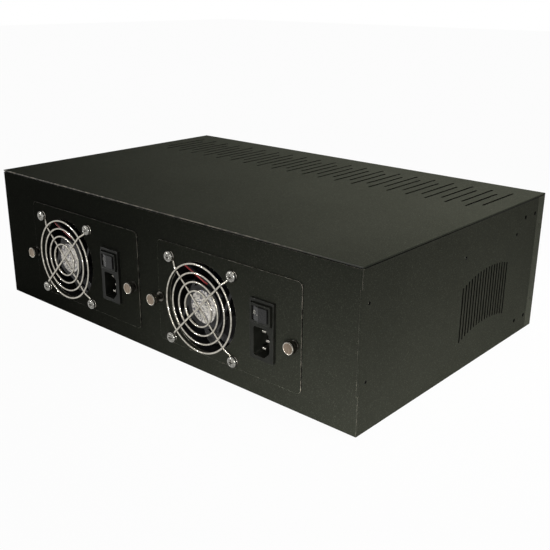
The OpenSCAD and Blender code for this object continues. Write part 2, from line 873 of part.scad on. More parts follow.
module fan_frame(side) {
    mid_r = fan_r + fan_wall;
    corner_r = 3;
    screw_d = 4.3;
    strut_run = [strut_rim_x - strut_hub_x, strut_rim_z - strut_hub_z];
    strut_l = norm(strut_run);
    strut_angle = atan2(strut_run[1], strut_run[0]);
    color(black_plastic) at_fan(side) {
        difference() {
            union() {
                for (y = [0, fan_t - fan_flange_t]) translate([0, y, 0])
                    along_y(fan_flange_t) rounded(fan_size, fan_size, corner_r);
                along_y(fan_t) intersection() {
                    circle(mid_r);
                    square(fan_size, center = true);
                }
            }
            translate([0, -cut, 0]) along_y(fan_t + 2 * cut) circle(fan_r);
            for (sx = [-1, 1], sz = [-1, 1])
                translate([sx * fan_screw, -cut, sz * fan_screw]) along_y(fan_t + 2 * cut)
                    circle(d = screw_d);
            translate([0, -cut, 0]) along_y(cut + lead_notch)
                rect(strut_rim_x - lead_notch / 2, strut_rim_z - 3 * lead_notch,
                     strut_rim_x + lead_notch / 2, fan_size / 2 + cut);
        }
        translate([0, lead_notch, 0]) along_y(motor_base_t) intersection() {
            for (k = [0 : 3]) rotate(90 * k) translate([strut_hub_x, strut_hub_z])
                rotate(strut_angle)
                    translate([-motor_base_r, -strut_w / 2])
                        square([strut_l + 2 * motor_base_r, strut_w]);
            difference() {
                circle(fan_r + fan_wall / 2);
                circle(motor_base_r - strut_w);
            }
        }
        translate([0, label_t, 0]) along_y(lead_notch + motor_base_t - label_t) difference() {
            circle(motor_base_r);
            circle(d = shaft_d + 2 * run_gap);
        }
        translate([0, lead_notch + motor_base_t, 0]) along_y(bearing_l) difference() {
            circle(d = bearing_d);
            circle(d = shaft_d + 2 * run_gap);
        }
    }
}

module fan_rotor(side) {
    cup_t = 1.5;
    cup_y0 = lead_notch + motor_base_t + rotor_gap;
    cup_y1 = fan_t - rotor_back;
    shaft_y0 = lead_notch + rotor_gap;
    blade_r = fan_r - rotor_gap;
    blade_t = 1.5;
    blade_pitch = 38;
    blade_chord = 22;
    blade_y = (cup_y0 + cup_y1) / 2;
    color(black_plastic) at_fan(side) {
        translate([0, cup_y0, 0]) along_y(cup_y1 - cup_y0 - cup_t) difference() {
            circle(hub_r);
            circle(hub_r - cup_t);
        }
        translate([0, cup_y1 - cup_t, 0]) along_y(cup_t) circle(hub_r);
        translate([0, shaft_y0, 0]) along_y(cup_y1 - cup_t - shaft_y0) circle(d = shaft_d);
        intersection() {
            for (k = [0 : blade_count - 1]) rotate([0, 360 * k / blade_count, 0])
                translate([0, blade_y, 0]) rotate([0, 0, blade_pitch])
                    translate([-blade_t / 2, -blade_chord / 2, hub_r - cup_t / 2])
                        cube([blade_t, blade_chord, blade_r]);
            translate([0, cup_y0, 0]) along_y(cup_y1 - cup_y0) difference() {
                circle(blade_r);
                circle(hub_r - cup_t / 2);
            }
        }
    }
}

module fan_label(side) {
    label_r = 14;
    color("silver") at_fan(side) along_y(label_t) circle(label_r);
}

// Route of the fan's lead: hub, strut, notch, over the frame's top, down behind its corner
lead_d = 1.3;
lead_gap = 2.2;
function fan_lead_route() =
    let (top_z = fan_size / 2 + lead_gap / 2,
         side_x = -fan_size / 2 - fan_side_gap / 2,
         face_y = lead_notch - lead_d,
         back_y = fan_t + lead_gap,
         foot_z = psu_board_top + end_gap - fan_z)
    [[strut_hub_x + lead_d, face_y, strut_hub_z],
     [(strut_hub_x + strut_rim_x) / 2, face_y, (strut_hub_z + strut_rim_z) / 2],
     [strut_rim_x + lead_gap, face_y, strut_rim_z - lead_d],
     [strut_rim_x, face_y, strut_rim_z + lead_gap],
     [strut_rim_x, face_y, top_z - lead_gap],
     [strut_rim_x, face_y + lead_gap, top_z],
     [strut_rim_x - lead_gap, fan_t / 2, top_z],
     [side_x + 3 * lead_gap, fan_t - lead_gap, top_z],
     [side_x, fan_t + lead_gap / 2, top_z - lead_gap / 2],
     [side_x, back_y, top_z - 4 * lead_gap],
     [side_x + lead_d, back_y + lead_d, 0],
     [side_x + lead_gap, back_y + lead_gap, foot_z + 4 * lead_gap],
     [side_x + 3 * lead_gap, psu_board_y0 + 2 * lead_gap, foot_z + lead_gap],
     [side_x + 4 * lead_gap, psu_board_y0 + 3 * lead_gap, foot_z]];

module fan_lead(side) {
    route_steps = 4;
    color("#b3202a") at_fan(side) tube_along(smooth(fan_lead_route(), route_steps), lead_d, 8);
}

// Power module: finger guard

guard_y = plate_out - guard_proud;
eye_r = 3.6;
eye_lift = 0.1;

module guard_wire(a, b, d) {
    run = b - a;
    translate(a) rotate([0, acos(run[2] / norm(run)), atan2(run[1], run[0])])
        cylinder(d = d, h = norm(run), $fn = 24);
}

module fan_guard(side) {
    outer_r = fan_r - ring_in;
    weld = 0.25;
    // Each bend's bead and the flat foot are a little fatter than the wire
    knee_share = 1.04;
    foot_share = 1.04;
    bend_share = 1.08;
    corner_l = fan_screw * sqrt(2);
    knee_r = outer_r + wire_d;
    foot_bite_share = 0.2;
    foot_r = corner_l - eye_r + wire_d * foot_bite_share;
    bend_r = corner_l - (guard_head_d + wire_d) / 2 - slide_gap;
    foot_y = plate_out - eye_lift - wire_d / 2;
    color(chrome_tone) at_module(side) translate([fan_x, 0, fan_z]) {
        for (i = [0 : ring_count - 1]) translate([0, guard_y, 0]) rotate([90, 0, 0])
            rotate_extrude() translate([outer_r - i * ring_step, 0]) circle(d = wire_d, $fn = 24);
        for (k = [0, 1]) {
            strut_y = guard_y + (k == 0 ? -1 : 1) * (wire_d - weld);
            rotate([0, 135 - 90 * k, 0]) {
                guard_wire([-knee_r, strut_y, 0], [knee_r, strut_y, 0], wire_d);
                for (s = [-1, 1]) {
                    guard_wire([s * knee_r, strut_y, 0], [s * bend_r, foot_y, 0], wire_d);
                    guard_wire([s * bend_r, foot_y, 0], [s * foot_r, foot_y, 0], wire_d * foot_share);
                    translate([s * knee_r, strut_y, 0]) sphere(d = wire_d * knee_share, $fn = 24);
                    translate([s * bend_r, foot_y, 0]) sphere(d = wire_d * bend_share, $fn = 24);
                    translate([s * corner_l, foot_y, 0]) rotate([90, 0, 0])
                        rotate_extrude() translate([eye_r, 0]) circle(d = wire_d, $fn = 24);
                }
            }
        }
    }
}

module guard_screws(side) {
    recess_w = 1.1;
    recess_l = 5;
    recess_d = 1.6;
    shank_d = 4;
    shank_l = 16;
    crown_h = 0.8;
    head_y = plate_out - wire_d - 2 * eye_lift - guard_head_h;
    color(chrome_tone) at_module(side) for (sx = [-1, 1], sz = [-1, 1])
        translate([fan_x + sx * fan_screw, head_y, fan_z + sz * fan_screw]) {
            difference() {
                union() {
                    translate([0, crown_h, 0]) along_y(guard_head_h - crown_h) circle(d = guard_head_d);
                    rotate([-90, 0, 0])
                        cylinder(d1 = guard_head_d - 2 * crown_h, d2 = guard_head_d, h = crown_h);
                }
                translate([0, -cut, 0]) along_y(recess_d + cut) {
                    square([recess_w, recess_l], center = true);
                    square([recess_l, recess_w], center = true);
                }
            }
            translate([0, guard_head_h, 0]) along_y(shank_l) circle(d = shank_d);
        }
}

// Power module: inlet with switch

inlet_body_in = 1.4;
inlet_body_w = inlet_w - 2 * inlet_body_in;
inlet_body_h = inlet_h - 2 * inlet_body_in;
bezel_y = plate_out - bezel_t;
frame_y = bezel_y - frame_proud;
pocket_margin = 1;
pocket_d = 2;
switch_w = 19.9;
switch_h = 15.1;
switch_top_in = 3.1;
switch_z = inlet_h / 2 - switch_top_in - switch_h / 2;
socket_low_in = 2.9;
socket_z = -inlet_h / 2 + socket_low_in + socket_h / 2;
socket_chamfer = 5;
socket_small_chamfer = 1;
rocker_rise = 1.4;
rocker_pivot_in = 5;
rocker_pivot_y = frame_y - rocker_rise + rocker_pivot_in;
rocker_pin_d = 2.4;
rocker_pin_l = 0.8;
pin_w = 4;
pin_h = 2;
pin_spread = 14;
pin_offset = 4;
pin_in = 5;
pin_tab_l = 7;
pin_places = [[-pin_offset / 2, -pin_spread / 2], [pin_offset / 2, 0],
              [-pin_offset / 2, pin_spread / 2]];

module at_inlet(side) {
    at_module(side) translate([inlet_x, 0, inlet_z]) children();
}

// Outline of the socket's recess, its two large chamfers on the right
module socket_outline() {
    a = socket_w / 2;
    b = socket_h / 2;
    c = socket_chamfer;
    e = socket_small_chamfer;
    polygon([[-a + e, -b], [a - c, -b], [a, -b + c], [a, b - c], [a - c, b], [-a + e, b],
             [-a, b - e], [-a, -b + e]]);
}

// The three flat pins, and their fit in the housing when grown
module pin_outlines(grow) {
    for (p = pin_places) translate(p) square([pin_w, pin_h] + 2 * grow * [1, 1], center = true);
}

module inlet_housing(side) {
    bezel_r = 1;
    well_d = 11;
    well_gap = 0.4;
    pin_bore_d = rocker_pin_d + 2 * run_gap;
    pin_bore_l = rocker_h + 2 * rocker_pin_l + 2 * seam_gap;
    well_w = rocker_w + 2 * well_gap;
    well_h = rocker_h + 2 * seam_gap;
    color(black_plastic) at_inlet(side) difference() {
        union() {
            difference() {
                translate([0, bezel_y, 0]) along_y(bezel_t) rounded(inlet_w, inlet_h, bezel_r);
                translate([0, bezel_y - cut, switch_z]) along_y(pocket_d + cut)
                    square([switch_w, switch_h] + 2 * pocket_margin * [1, 1], center = true);
            }
            translate([0, frame_y, switch_z]) along_y(frame_proud + pocket_d)
                rounded(switch_w, switch_h, bezel_r);
            translate([0, plate_out, 0]) along_y(inlet_d)
                square([inlet_body_w, inlet_body_h], center = true);
        }
        translate([0, bezel_y - cut, socket_z]) along_y(socket_d + cut) socket_outline();
        translate([0, plate_out, socket_z]) along_y(inlet_d + cut) pin_outlines(run_gap);
        translate([0, frame_y - cut, switch_z]) along_y(well_d + cut)
            square([well_w, well_h], center = true);
        translate([0, rocker_pivot_y, switch_z - pin_bore_l / 2])
            cylinder(d = pin_bore_d, h = pin_bore_l);
    }
}

module inlet_pins(side) {
    color("silver") at_inlet(side) translate([0, bezel_y + pin_in, socket_z])
        along_y(plate_out + inlet_d + pin_tab_l - bezel_y - pin_in) pin_outlines(0);
}

module rocker(side) {
    end_x = rocker_w / 2;
    end_y = -rocker_pivot_in + rocker_rise;
    side_t = 2;
    root_x = 2.6;
    root_y = 1.8;
    color("#161617") at_inlet(side) translate([0, rocker_pivot_y, switch_z])
        rotate([0, 0, -rocker_swing / 2]) {
            translate([0, 0, -rocker_h / 2]) linear_extrude(rocker_h)
                polygon([[-end_x, end_y], [-end_x, end_y + side_t], [-root_x, root_y], [root_x, root_y],
                         [end_x, end_y + side_t], [end_x, end_y], [0, -rocker_pivot_in]]);
            translate([0, 0, -rocker_h / 2 - rocker_pin_l])
                cylinder(d = rocker_pin_d, h = rocker_h + 2 * rocker_pin_l);
        }
}

// Three insulated leads from the inlet's tabs to the circuit board
module mains_leads(side) {
    core_d = 2.2;
    tail = 5;
    tab_y = plate_out + inlet_d + pin_tab_l + end_gap;
    route_steps = 3;
    foot_y = psu_board_y0 + tail;
    lead_shares = [0.7, 0.94, 0.82];
    color("#7a5a3a") at_module(side) for (i = [0 : 2]) {
        foot = on_board(lead_shares[i], tail / psu_board_l) + [0, 0, end_gap];
        tip = [inlet_x + pin_places[i][0], tab_y, inlet_z + socket_z + pin_places[i][1]];
        out = tip + [0, tail, 0];
        mid = [(foot[0] + out[0]) / 2, out[1] + tail, foot[2] + 2 * tail];
        tube_along(smooth([tip, out, mid, foot + [0, 0, tail], foot], route_steps), core_d, 8);
    }
}

// Power module: captive thumbscrews

collar_d = 8.6;
collar_l = 1.8;
collar_wall = 1.6;
collar_bore_d = collar_d - collar_wall;
neck_d = 5;

module at_thumb(side, x) {
    at_module(side) translate([x, plate_out, -thumb_drop]) children();
}

module screw_collars(side) {
    color(nickel_tone) for (x = [thumb_x1, thumb_x2]) at_thumb(side, x) difference() {
        union() {
            translate([0, -collar_l, 0]) along_y(collar_l) circle(d = collar_d);
            along_y(plate_t) circle(d = collar_bore_d);
        }
        translate([0, -collar_l - cut, 0]) along_y(collar_l + plate_t + 2 * cut)
            circle(d = neck_d + 2 * run_gap);
    }
}

module thumbscrew(side, x, loose = 0) {
    knurl_in = 0.35;
    face_chamfer = 0.5;
    screw_l = 10;
    knurl = [for (i = [0 : 2 * knurl_count - 1])
        let (a = 180 * i / knurl_count, r = thumb_d / 2 - (i % 2) * knurl_in)
        [r * cos(a), r * sin(a)]];
    color(nickel_tone) at_thumb(side, x) translate([0, -loose, 0]) {
        translate([0, face_chamfer - thumb_proud, 0]) along_y(thumb_head_l - face_chamfer) polygon(knurl);
        translate([0, -thumb_proud, 0]) along_y(face_chamfer)
            circle(r = thumb_d / 2 - knurl_in - face_chamfer / 2);
        translate([0, thumb_head_l - thumb_proud, 0])
            along_y(thumb_proud - thumb_head_l + plate_t) circle(d = neck_d);
        translate([0, plate_t, 0]) along_y(screw_l) circle(d = thread_d);
    }
}

base_pan();
side_panel(-1);  // side_panel_left
side_panel(1);  // side_panel_right
rear_panel();
top_cover();
front_frame();
bulkhead();
backplane_board();
backplane_standoffs();
card_sockets();
dock_sockets();
card_tray_lower();
card_tray_upper();
card_guides_lower();
card_guides_upper();
module_rails();
clinch_nuts();
psu_plate(-1);  // psu_plate_left
psu_tray(-1);  // psu_tray_left
psu_lid(-1);  // psu_lid_left
psu_board(-1);  // psu_board_left
transformer(-1);  // transformer_left
capacitors(-1);  // capacitors_left
heatsinks(-1);  // heatsinks_left
dock_plug(-1);  // dock_plug_left
fan_frame(-1);  // fan_frame_left
fan_rotor(-1);  // fan_rotor_left
fan_label(-1);  // fan_label_left
fan_guard(-1);  // fan_guard_left
guard_screws(-1);  // guard_screws_left
fan_lead(-1);  // fan_lead_left
inlet_housing(-1);  // inlet_housing_left
inlet_pins(-1);  // inlet_pins_left
mains_leads(-1);  // mains_leads_left
rocker(-1);  // rocker_left
screw_collars(-1);  // screw_collars_left
thumbscrew(-1, thumb_x1);  // thumbscrew_left_1
thumbscrew(-1, thumb_x2);  // thumbscrew_left_2
psu_plate(1);  // psu_plate_right
psu_tray(1);  // psu_tray_right
psu_lid(1);  // psu_lid_right
psu_board(1);  // psu_board_right
transformer(1);  // transformer_right
capacitors(1);  // capacitors_right
heatsinks(1);  // heatsinks_right
dock_plug(1);  // dock_plug_right
fan_frame(1);  // fan_frame_right
fan_rotor(1);  // fan_rotor_right
fan_label(1);  // fan_label_right
fan_guard(1);  // fan_guard_right
guard_screws(1);  // guard_screws_right
fan_lead(1);  // fan_lead_right
inlet_housing(1);  // inlet_housing_right
inlet_pins(1);  // inlet_pins_right
mains_leads(1);  // mains_leads_right
rocker(1);  // rocker_right
screw_collars(1);  // screw_collars_right
thumbscrew(1, thumb_x1, thumb_loose);  // thumbscrew_right_1
thumbscrew(1, thumb_x2);  // thumbscrew_right_2
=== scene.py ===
import json
import math

import bmesh
import bpy
import numpy as np
from mathutils import Matrix, Vector

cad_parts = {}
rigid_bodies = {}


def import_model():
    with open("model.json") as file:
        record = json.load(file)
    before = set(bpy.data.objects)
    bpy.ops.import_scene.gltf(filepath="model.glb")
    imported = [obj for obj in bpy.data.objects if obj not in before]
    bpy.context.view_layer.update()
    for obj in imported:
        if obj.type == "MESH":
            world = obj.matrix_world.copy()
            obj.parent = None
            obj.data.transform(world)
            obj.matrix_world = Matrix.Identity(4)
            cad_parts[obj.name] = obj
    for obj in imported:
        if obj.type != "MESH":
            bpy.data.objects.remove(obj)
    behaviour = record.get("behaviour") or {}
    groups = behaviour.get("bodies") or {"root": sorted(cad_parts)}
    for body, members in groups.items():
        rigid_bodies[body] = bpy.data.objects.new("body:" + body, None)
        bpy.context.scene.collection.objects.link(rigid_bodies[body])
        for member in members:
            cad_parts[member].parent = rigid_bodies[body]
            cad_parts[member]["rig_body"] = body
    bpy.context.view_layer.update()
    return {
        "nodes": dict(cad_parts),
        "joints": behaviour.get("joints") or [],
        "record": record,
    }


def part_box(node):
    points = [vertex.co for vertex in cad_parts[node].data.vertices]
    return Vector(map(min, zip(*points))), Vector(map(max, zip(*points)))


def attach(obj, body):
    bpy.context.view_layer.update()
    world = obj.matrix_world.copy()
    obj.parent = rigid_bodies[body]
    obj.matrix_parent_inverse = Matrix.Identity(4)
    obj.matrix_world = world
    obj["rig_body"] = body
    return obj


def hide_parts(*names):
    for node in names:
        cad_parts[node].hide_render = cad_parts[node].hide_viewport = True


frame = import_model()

# Looks of the media converter chassis, in metres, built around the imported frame.
# The rear panel faces -Y, X runs across, Z is up.

mm = 0.001
scene = bpy.context.scene
scene.view_settings.view_transform = "Standard"
sides = ("left", "right")


# Camera, stage and lights

cameraValues = {
    "place": (0.5057, -0.5507, 0.2985),
    "azimuth": 0.724,  # radians, 0 looks along +Y
    "elevation": 0.3413,
    "roll": 0.0071,
    "lens": 52.45,  # mm
    "sensor": 36,  # mm
    "reach": 50,  # m
}


def makeCamera(values):
    az, el, roll = values["azimuth"], values["elevation"], values["roll"]
    back = Vector((math.sin(az) * math.cos(el), -math.cos(az) * math.cos(el), math.sin(el)))
    right = Vector((0, 0, 1)).cross(back).normalized()
    up = back.cross(right)
    turnedRight = right * math.cos(roll) + up * math.sin(roll)
    turnedUp = up * math.cos(roll) - right * math.sin(roll)
    camera = bpy.data.cameras.new("camera")
    camera.lens = values["lens"]
    camera.sensor_width = values["sensor"]
    camera.clip_end = values["reach"]
    holder = bpy.data.objects.new("camera", camera)
    axes = Matrix((turnedRight, turnedUp, back)).transposed().to_4x4()
    holder.matrix_world = Matrix.Translation(values["place"]) @ axes
    scene.collection.objects.link(holder)
    scene.camera = holder


lightValues = {
    # name: place, target, size, watts, colour and, for a spot, its cone in degrees
    "rearRight": ((0.50, -1.45, 0.40), (0.25, -0.15, -0.20), 0.12, 22, (1.0, 0.99, 0.92), 34),
    "rearLow": ((0.95, -1.15, 0.22), (0.27, -0.15, -0.15), 0.12, 78, (1.0, 0.99, 0.93), 27),
    "overRight": ((0.55, 0.1, 1.2), (0.28, 0.05, 0.12), 0.2, 58, (1.0, 0.97, 0.90), 34),
    "overFar": ((0.0, 0.6, 1.2), (-0.05, 0.30, 0.12), 0.2, 45, (1.0, 0.98, 0.92), 44),
    "frontFill": ((-1.2, 1.3, 1.0), (-0.08, 0.12, 0.08), 0.25, 60, (1.0, 0.99, 0.96), 40),
    "sparkleLeft": ((-0.99, -1.35, 0.43), (0.0, -0.15, 0.06), 0.09, 7, (1.0, 1.0, 1.0), None),
    "sparkleRight": ((1.43, -0.62, 0.12), (0.0, -0.15, 0.06), 0.09, 7, (0.95, 0.97, 1.0), None),
}


def makeLights(values):
    for name, (place, target, size, watts, colour, cone) in values.items():
        lamp = bpy.data.lights.new(name, "SPOT" if cone else "AREA")
        if cone:
            lamp.spot_size = math.radians(cone)
            lamp.spot_blend = 1
            lamp.shadow_soft_size = size
        else:
            lamp.shape = "DISK"
            lamp.size = size
        lamp.energy = watts
        lamp.color = colour
        holder = bpy.data.objects.new(name, lamp)
        # The small lamps are there for the points of light on chrome alone
        holder.visible_diffuse = cone is not None
        away = Vector(place) - Vector(target)
        holder.matrix_world = Matrix.Translation(place) @ away.to_track_quat("Z", "Y").to_matrix().to_4x4()
        scene.collection.objects.link(holder)


def seenDirectly(tree):
    # 1 for camera, glossy and transmission rays, 0 for the rest
    path = tree.nodes.new("ShaderNodeLightPath")
    seen = path.outputs["Is Camera Ray"]
    for ray in ("Is Glossy Ray", "Is Transmission Ray"):
        either = tree.nodes.new("ShaderNodeMath")
        either.operation = "MAXIMUM"
        tree.links.new(seen, either.inputs[0])
        tree.links.new(path.outputs[ray], either.inputs[1])
        seen = either.outputs[0]
    return seen


stageValues = {
    "floorHalf": 6.0,
    "floorDrop": 0.2 * mm,  # keeps the floor clear of the base pan
    "floorColour": (0.6, 0.6, 0.6, 1),
    "floorGlow": 0.97,  # how far the camera sees it lit
    "ambient": 0.10,
}


def makeStage(values):
    world = bpy.data.worlds.new("studio")
    scene.world = world
    world.use_nodes = True
    tree = world.node_tree
    tree.nodes.clear()
    mix = tree.nodes.new("ShaderNodeMixShader")
    out = tree.nodes.new("ShaderNodeOutputWorld")
    tree.links.new(seenDirectly(tree), mix.inputs[0])
    for k, strength in ((1, values["ambient"]), (2, 1)):
        sky = tree.nodes.new("ShaderNodeBackground")
        sky.inputs["Color"].default_value = (1, 1, 1, 1)
        sky.inputs["Strength"].default_value = strength
        tree.links.new(sky.outputs[0], mix.inputs[k])
    tree.links.new(mix.outputs[0], out.inputs["Surface"])

    half = values["floorHalf"]
    mesh = bpy.data.meshes.new("floor")
    corners = [(-half, -half, 0), (half, -half, 0), (half, half, 0), (-half, half, 0)]
    mesh.from_pydata(corners, [], [(0, 1, 2, 3)])
    floor = bpy.data.objects.new("floor", mesh)
    floor.location.z = -values["floorDrop"]
    scene.collection.objects.link(floor)
    paper = bpy.data.materials.new("paper")
    paper.use_nodes = True
    tree = paper.node_tree
    tree.nodes.clear()
    matt = tree.nodes.new("ShaderNodeBsdfDiffuse")
    matt.inputs["Color"].default_value = values["floorColour"]
    glow = tree.nodes.new("ShaderNodeEmission")
    glow.inputs["Strength"].default_value = 1
    share = tree.nodes.new("ShaderNodeMath")
    share.operation = "MULTIPLY"
    share.inputs[1].default_value = values["floorGlow"]
    mix = tree.nodes.new("ShaderNodeMixShader")
    out = tree.nodes.new("ShaderNodeOutputMaterial")
    tree.links.new(seenDirectly(tree), share.inputs[0])
    tree.links.new(share.outputs[0], mix.inputs[0])
    tree.links.new(matt.outputs[0], mix.inputs[1])
    tree.links.new(glow.outputs[0], mix.inputs[2])
    tree.links.new(mix.outputs[0], out.inputs["Surface"])
    mesh.materials.append(paper)


makeCamera(cameraValues)
makeStage(stageValues)
makeLights(lightValues)
print("stage, camera and lights ready")


# Materials. All patterns read Object coordinates in metres

class Finish:
    # One node material on a Principled shader
    def __init__(self, name, roughness=0.5, metallic=0.0, specular=0.5):
        self.material = bpy.data.materials.new(name)
        self.material.use_nodes = True
        self.tree = self.material.node_tree
        self.shader = self.tree.nodes["Principled BSDF"]
        self.shader.inputs["Roughness"].default_value = roughness
        self.shader.inputs["Metallic"].default_value = metallic
        self.shader.inputs["Specular IOR Level"].default_value = specular
        self.place = self.tree.nodes.new("ShaderNodeTexCoord").outputs["Object"]
        self.lastNormal = None

    def node(self, kind, socket, source, settings):
        # A new node with these settings, fed from source at that socket
        made = self.tree.nodes.new("ShaderNode" + kind)
        for name, value in settings.items():
            made.inputs[name].default_value = value
        self.tree.links.new(source, made.inputs[socket])
        return made

    def noise(self, size, detail=2.0, rough=0.5, stretch=(1, 1, 1)):
        # Cloud pattern whose blots are about size metres across
        source = self.place
        if stretch != (1, 1, 1):
            source = self.node("Mapping", "Vector", source, {"Scale": stretch}).outputs[0]
        settings = {"Scale": 1 / size, "Detail": detail, "Roughness": rough}
        return self.node("TexNoise", "Vector", source, settings).outputs["Fac"]

    def ramp(self, value, stops):
        # Colours or greys along a value, as (position, colour) pairs
        node = self.node("ValToRGB", "Fac", value, {})
        while len(node.color_ramp.elements) < len(stops):
            node.color_ramp.elements.new(0.5)
        for element, (position, colour) in zip(node.color_ramp.elements, stops):
            grey = isinstance(colour, (int, float))
            element.position = position
            element.color = (colour, colour, colour, 1) if grey else (*colour, 1)
        return node.outputs["Color"]

    def mix(self, share, first, second, mode="MIX"):
        node = self.tree.nodes.new("ShaderNodeMix")
        node.data_type = "RGBA"
        node.blend_type = mode
        ends = {"Factor": share, "A": first, "B": second}
        for socket in node.inputs:
            if socket.name in ends and socket.enabled:
                value = ends[socket.name]
                if isinstance(value, bpy.types.NodeSocket):
                    self.tree.links.new(value, socket)
                elif isinstance(value, (int, float)):
                    socket.default_value = value
                else:
                    socket.default_value = (*value, 1)
        return [s for s in node.outputs if s.enabled][0]

    def along(self, axis, start, end):
        # 0 at start to 1 at end along one of the object's axes
        apart = self.node("SeparateXYZ", 0, self.place, {})
        ends = {"From Min": start, "From Max": end}
        return self.node("MapRange", "Value", apart.outputs[axis], ends).outputs["Result"]

    def colour(self, socket):
        self.tree.links.new(socket, self.shader.inputs["Base Color"])

    def roughness(self, socket):
        self.tree.links.new(socket, self.shader.inputs["Roughness"])

    def bump(self, height, depth, strength=1.0):
        # Adds a height pattern, depth metres high
        node = self.node("Bump", "Height", height, {"Distance": depth, "Strength": strength})
        if self.lastNormal is not None:
            self.tree.links.new(self.lastNormal, node.inputs["Normal"])
        self.lastNormal = node.outputs["Normal"]
        self.tree.links.new(self.lastNormal, self.shader.inputs["Normal"])


coatValues = {
    "dark": (0.0390, 0.0422, 0.0340),
    "light": (0.0495, 0.0528, 0.0435),
    "speck": (0.092, 0.092, 0.078),
    "broad": 90 * mm,
    "blots": 9 * mm,
    "grain": 0.75 * mm,
    "grainDepth": 0.05 * mm,
}


def powderCoat(name, lift=1.0):
    # lift multiplies the coat's colours; above 1 it paints light onto a copy of the coat
    finish = Finish(name, roughness=0.5, specular=0.0)
    v = coatValues
    broad = finish.noise(v["broad"], 3)
    blots = finish.noise(v["blots"], 3)
    grain = finish.noise(v["grain"], 3, 0.6)
    dark, light, speck = ([c * lift for c in v[k]] for k in ("dark", "light", "speck"))
    base = finish.ramp(broad, ((0.2, dark), (0.8, light)))
    mottled = finish.mix(0.25, base, finish.ramp(blots, ((0.3, dark), (0.7, light))))
    specks = finish.ramp(grain, ((0.54, 0.0), (0.72, 1.0)))
    finish.colour(finish.mix(specks, mottled, speck))
    finish.roughness(finish.ramp(grain, ((0.2, 0.38), (0.8, 0.58))))
    finish.bump(grain, v["grainDepth"], 0.55)
    return finish.material


wornEdgeAndHighlightValues = {
    "whole": (0.05, 0.052, 0.043),
    "run": 5 * mm,
    "grain": 0.8 * mm,
    "grainDepth": 0.02 * mm,
    "soft": 0.1 * mm,  # height over which the coat becomes whole
    "deep": 0.8 * mm,  # how far down the cover's end is rubbed and carries the painted highlight
    # X from and to over which the painted highlight on the cover's end fades out
    "coverFade": (-0.10, 0.20),
}


def wornEdge(name, bareAndHighlight=(0.70, 0.65, 0.55), fade=None, floor=None):
    # Paint rubbed thin along a fold, so that the metal shows in short dashes; the bright bare colour is also
    # a painted highlight on the edge fade is from and to in X, over which the rubbed edge and its painted
    # highlight fade to whole coat, and below the height floor the coat is whole
    v = wornEdgeAndHighlightValues
    finish = Finish(name, roughness=0.35, specular=0.3)
    runs = finish.noise(v["run"], 3)
    grain = finish.noise(v["grain"], 2)
    share = finish.ramp(runs, ((0.44, 0.15), (0.58, 1.0)))
    paint = finish.ramp(grain, ((0.3, (0.07, 0.07, 0.06)), (0.7, (0.12, 0.117, 0.10))))
    wornAndHighlight = finish.mix(share, paint, bareAndHighlight)
    if fade:
        wornAndHighlight = finish.mix(finish.along("X", *fade), wornAndHighlight, v["whole"])
    if floor:
        above = finish.along("Z", floor - v["soft"], floor + v["soft"])
        wornAndHighlight = finish.mix(above, v["whole"], wornAndHighlight)
    finish.colour(wornAndHighlight)
    finish.bump(grain, v["grainDepth"], 0.4)
    return finish.material


def metal(name, first, second, roughness, size, bumpDepth=0.0, stretch=(1, 1, 1)):
    finish = Finish(name, roughness=roughness, metallic=1.0)
    cloud = finish.noise(size, 3, 0.55, stretch)
    fine = finish.noise(size / 7, 2, 0.5, stretch)
    finish.colour(finish.ramp(cloud, ((0.3, first), (0.7, second))))
    finish.roughness(finish.ramp(fine, ((0.25, roughness * 0.75), (0.75, min(1.0, roughness * 1.35)))))
    if bumpDepth:
        finish.bump(fine, bumpDepth, 0.5)
    return finish.material


def plastic(name, first, second, roughness, size, bumpDepth=0.01 * mm, specular=0.5):
    finish = Finish(name, roughness=roughness, specular=specular)
    cloud = finish.noise(size * 12, 3)
    grain = finish.noise(size, 2)
    finish.colour(finish.ramp(cloud, ((0.3, first), (0.7, second))))
    finish.roughness(finish.ramp(grain, ((0.25, roughness * 0.8), (0.75, min(1.0, roughness * 1.25)))))
    finish.bump(grain, bumpDepth, 0.5)
    return finish.material


def circuitBoard():
    # Solder mask over faint copper tracks that run along X and Z
    finish = Finish("circuitBoard", roughness=0.35, specular=0.5)
    turned = finish.node("Mapping", "Vector", finish.place, {"Rotation": (math.radians(90), 0, 0)})
    tracks = finish.node("TexBrick", "Vector", turned.outputs[0], {
        "Scale": 1 / (18 * mm),
        "Mortar Size": 0.05,
        "Color1": (0.010, 0.085, 0.030, 1),
        "Color2": (0.014, 0.105, 0.038, 1),
        "Mortar": (0.030, 0.17, 0.06, 1),
    })
    finish.colour(tracks.outputs["Color"])
    finish.bump(tracks.outputs["Fac"], 0.04 * mm, 0.6)
    return finish.material


def foil():
    # Bare label foil: mottled silver with small dark flecks, and no words
    finish = Finish("foil", roughness=0.34, metallic=0.7, specular=0.5)
    mottle = finish.noise(2.4 * mm, 4, 0.65)
    flecks = finish.noise(1.5 * mm, 2, 0.5, (1, 1, 1.5))
    stops = ((0.32, (0.56, 0.53, 0.48)), (0.52, (0.86, 0.82, 0.75)), (0.72, (0.94, 0.92, 0.88)))
    silver = finish.ramp(mottle, stops)
    share = finish.ramp(flecks, ((0.51, 0.0), (0.58, 0.9)))
    finish.colour(finish.mix(share, silver, (0.07, 0.07, 0.11)))
    finish.bump(mottle, 0.22 * mm, 0.8)
    return finish.material


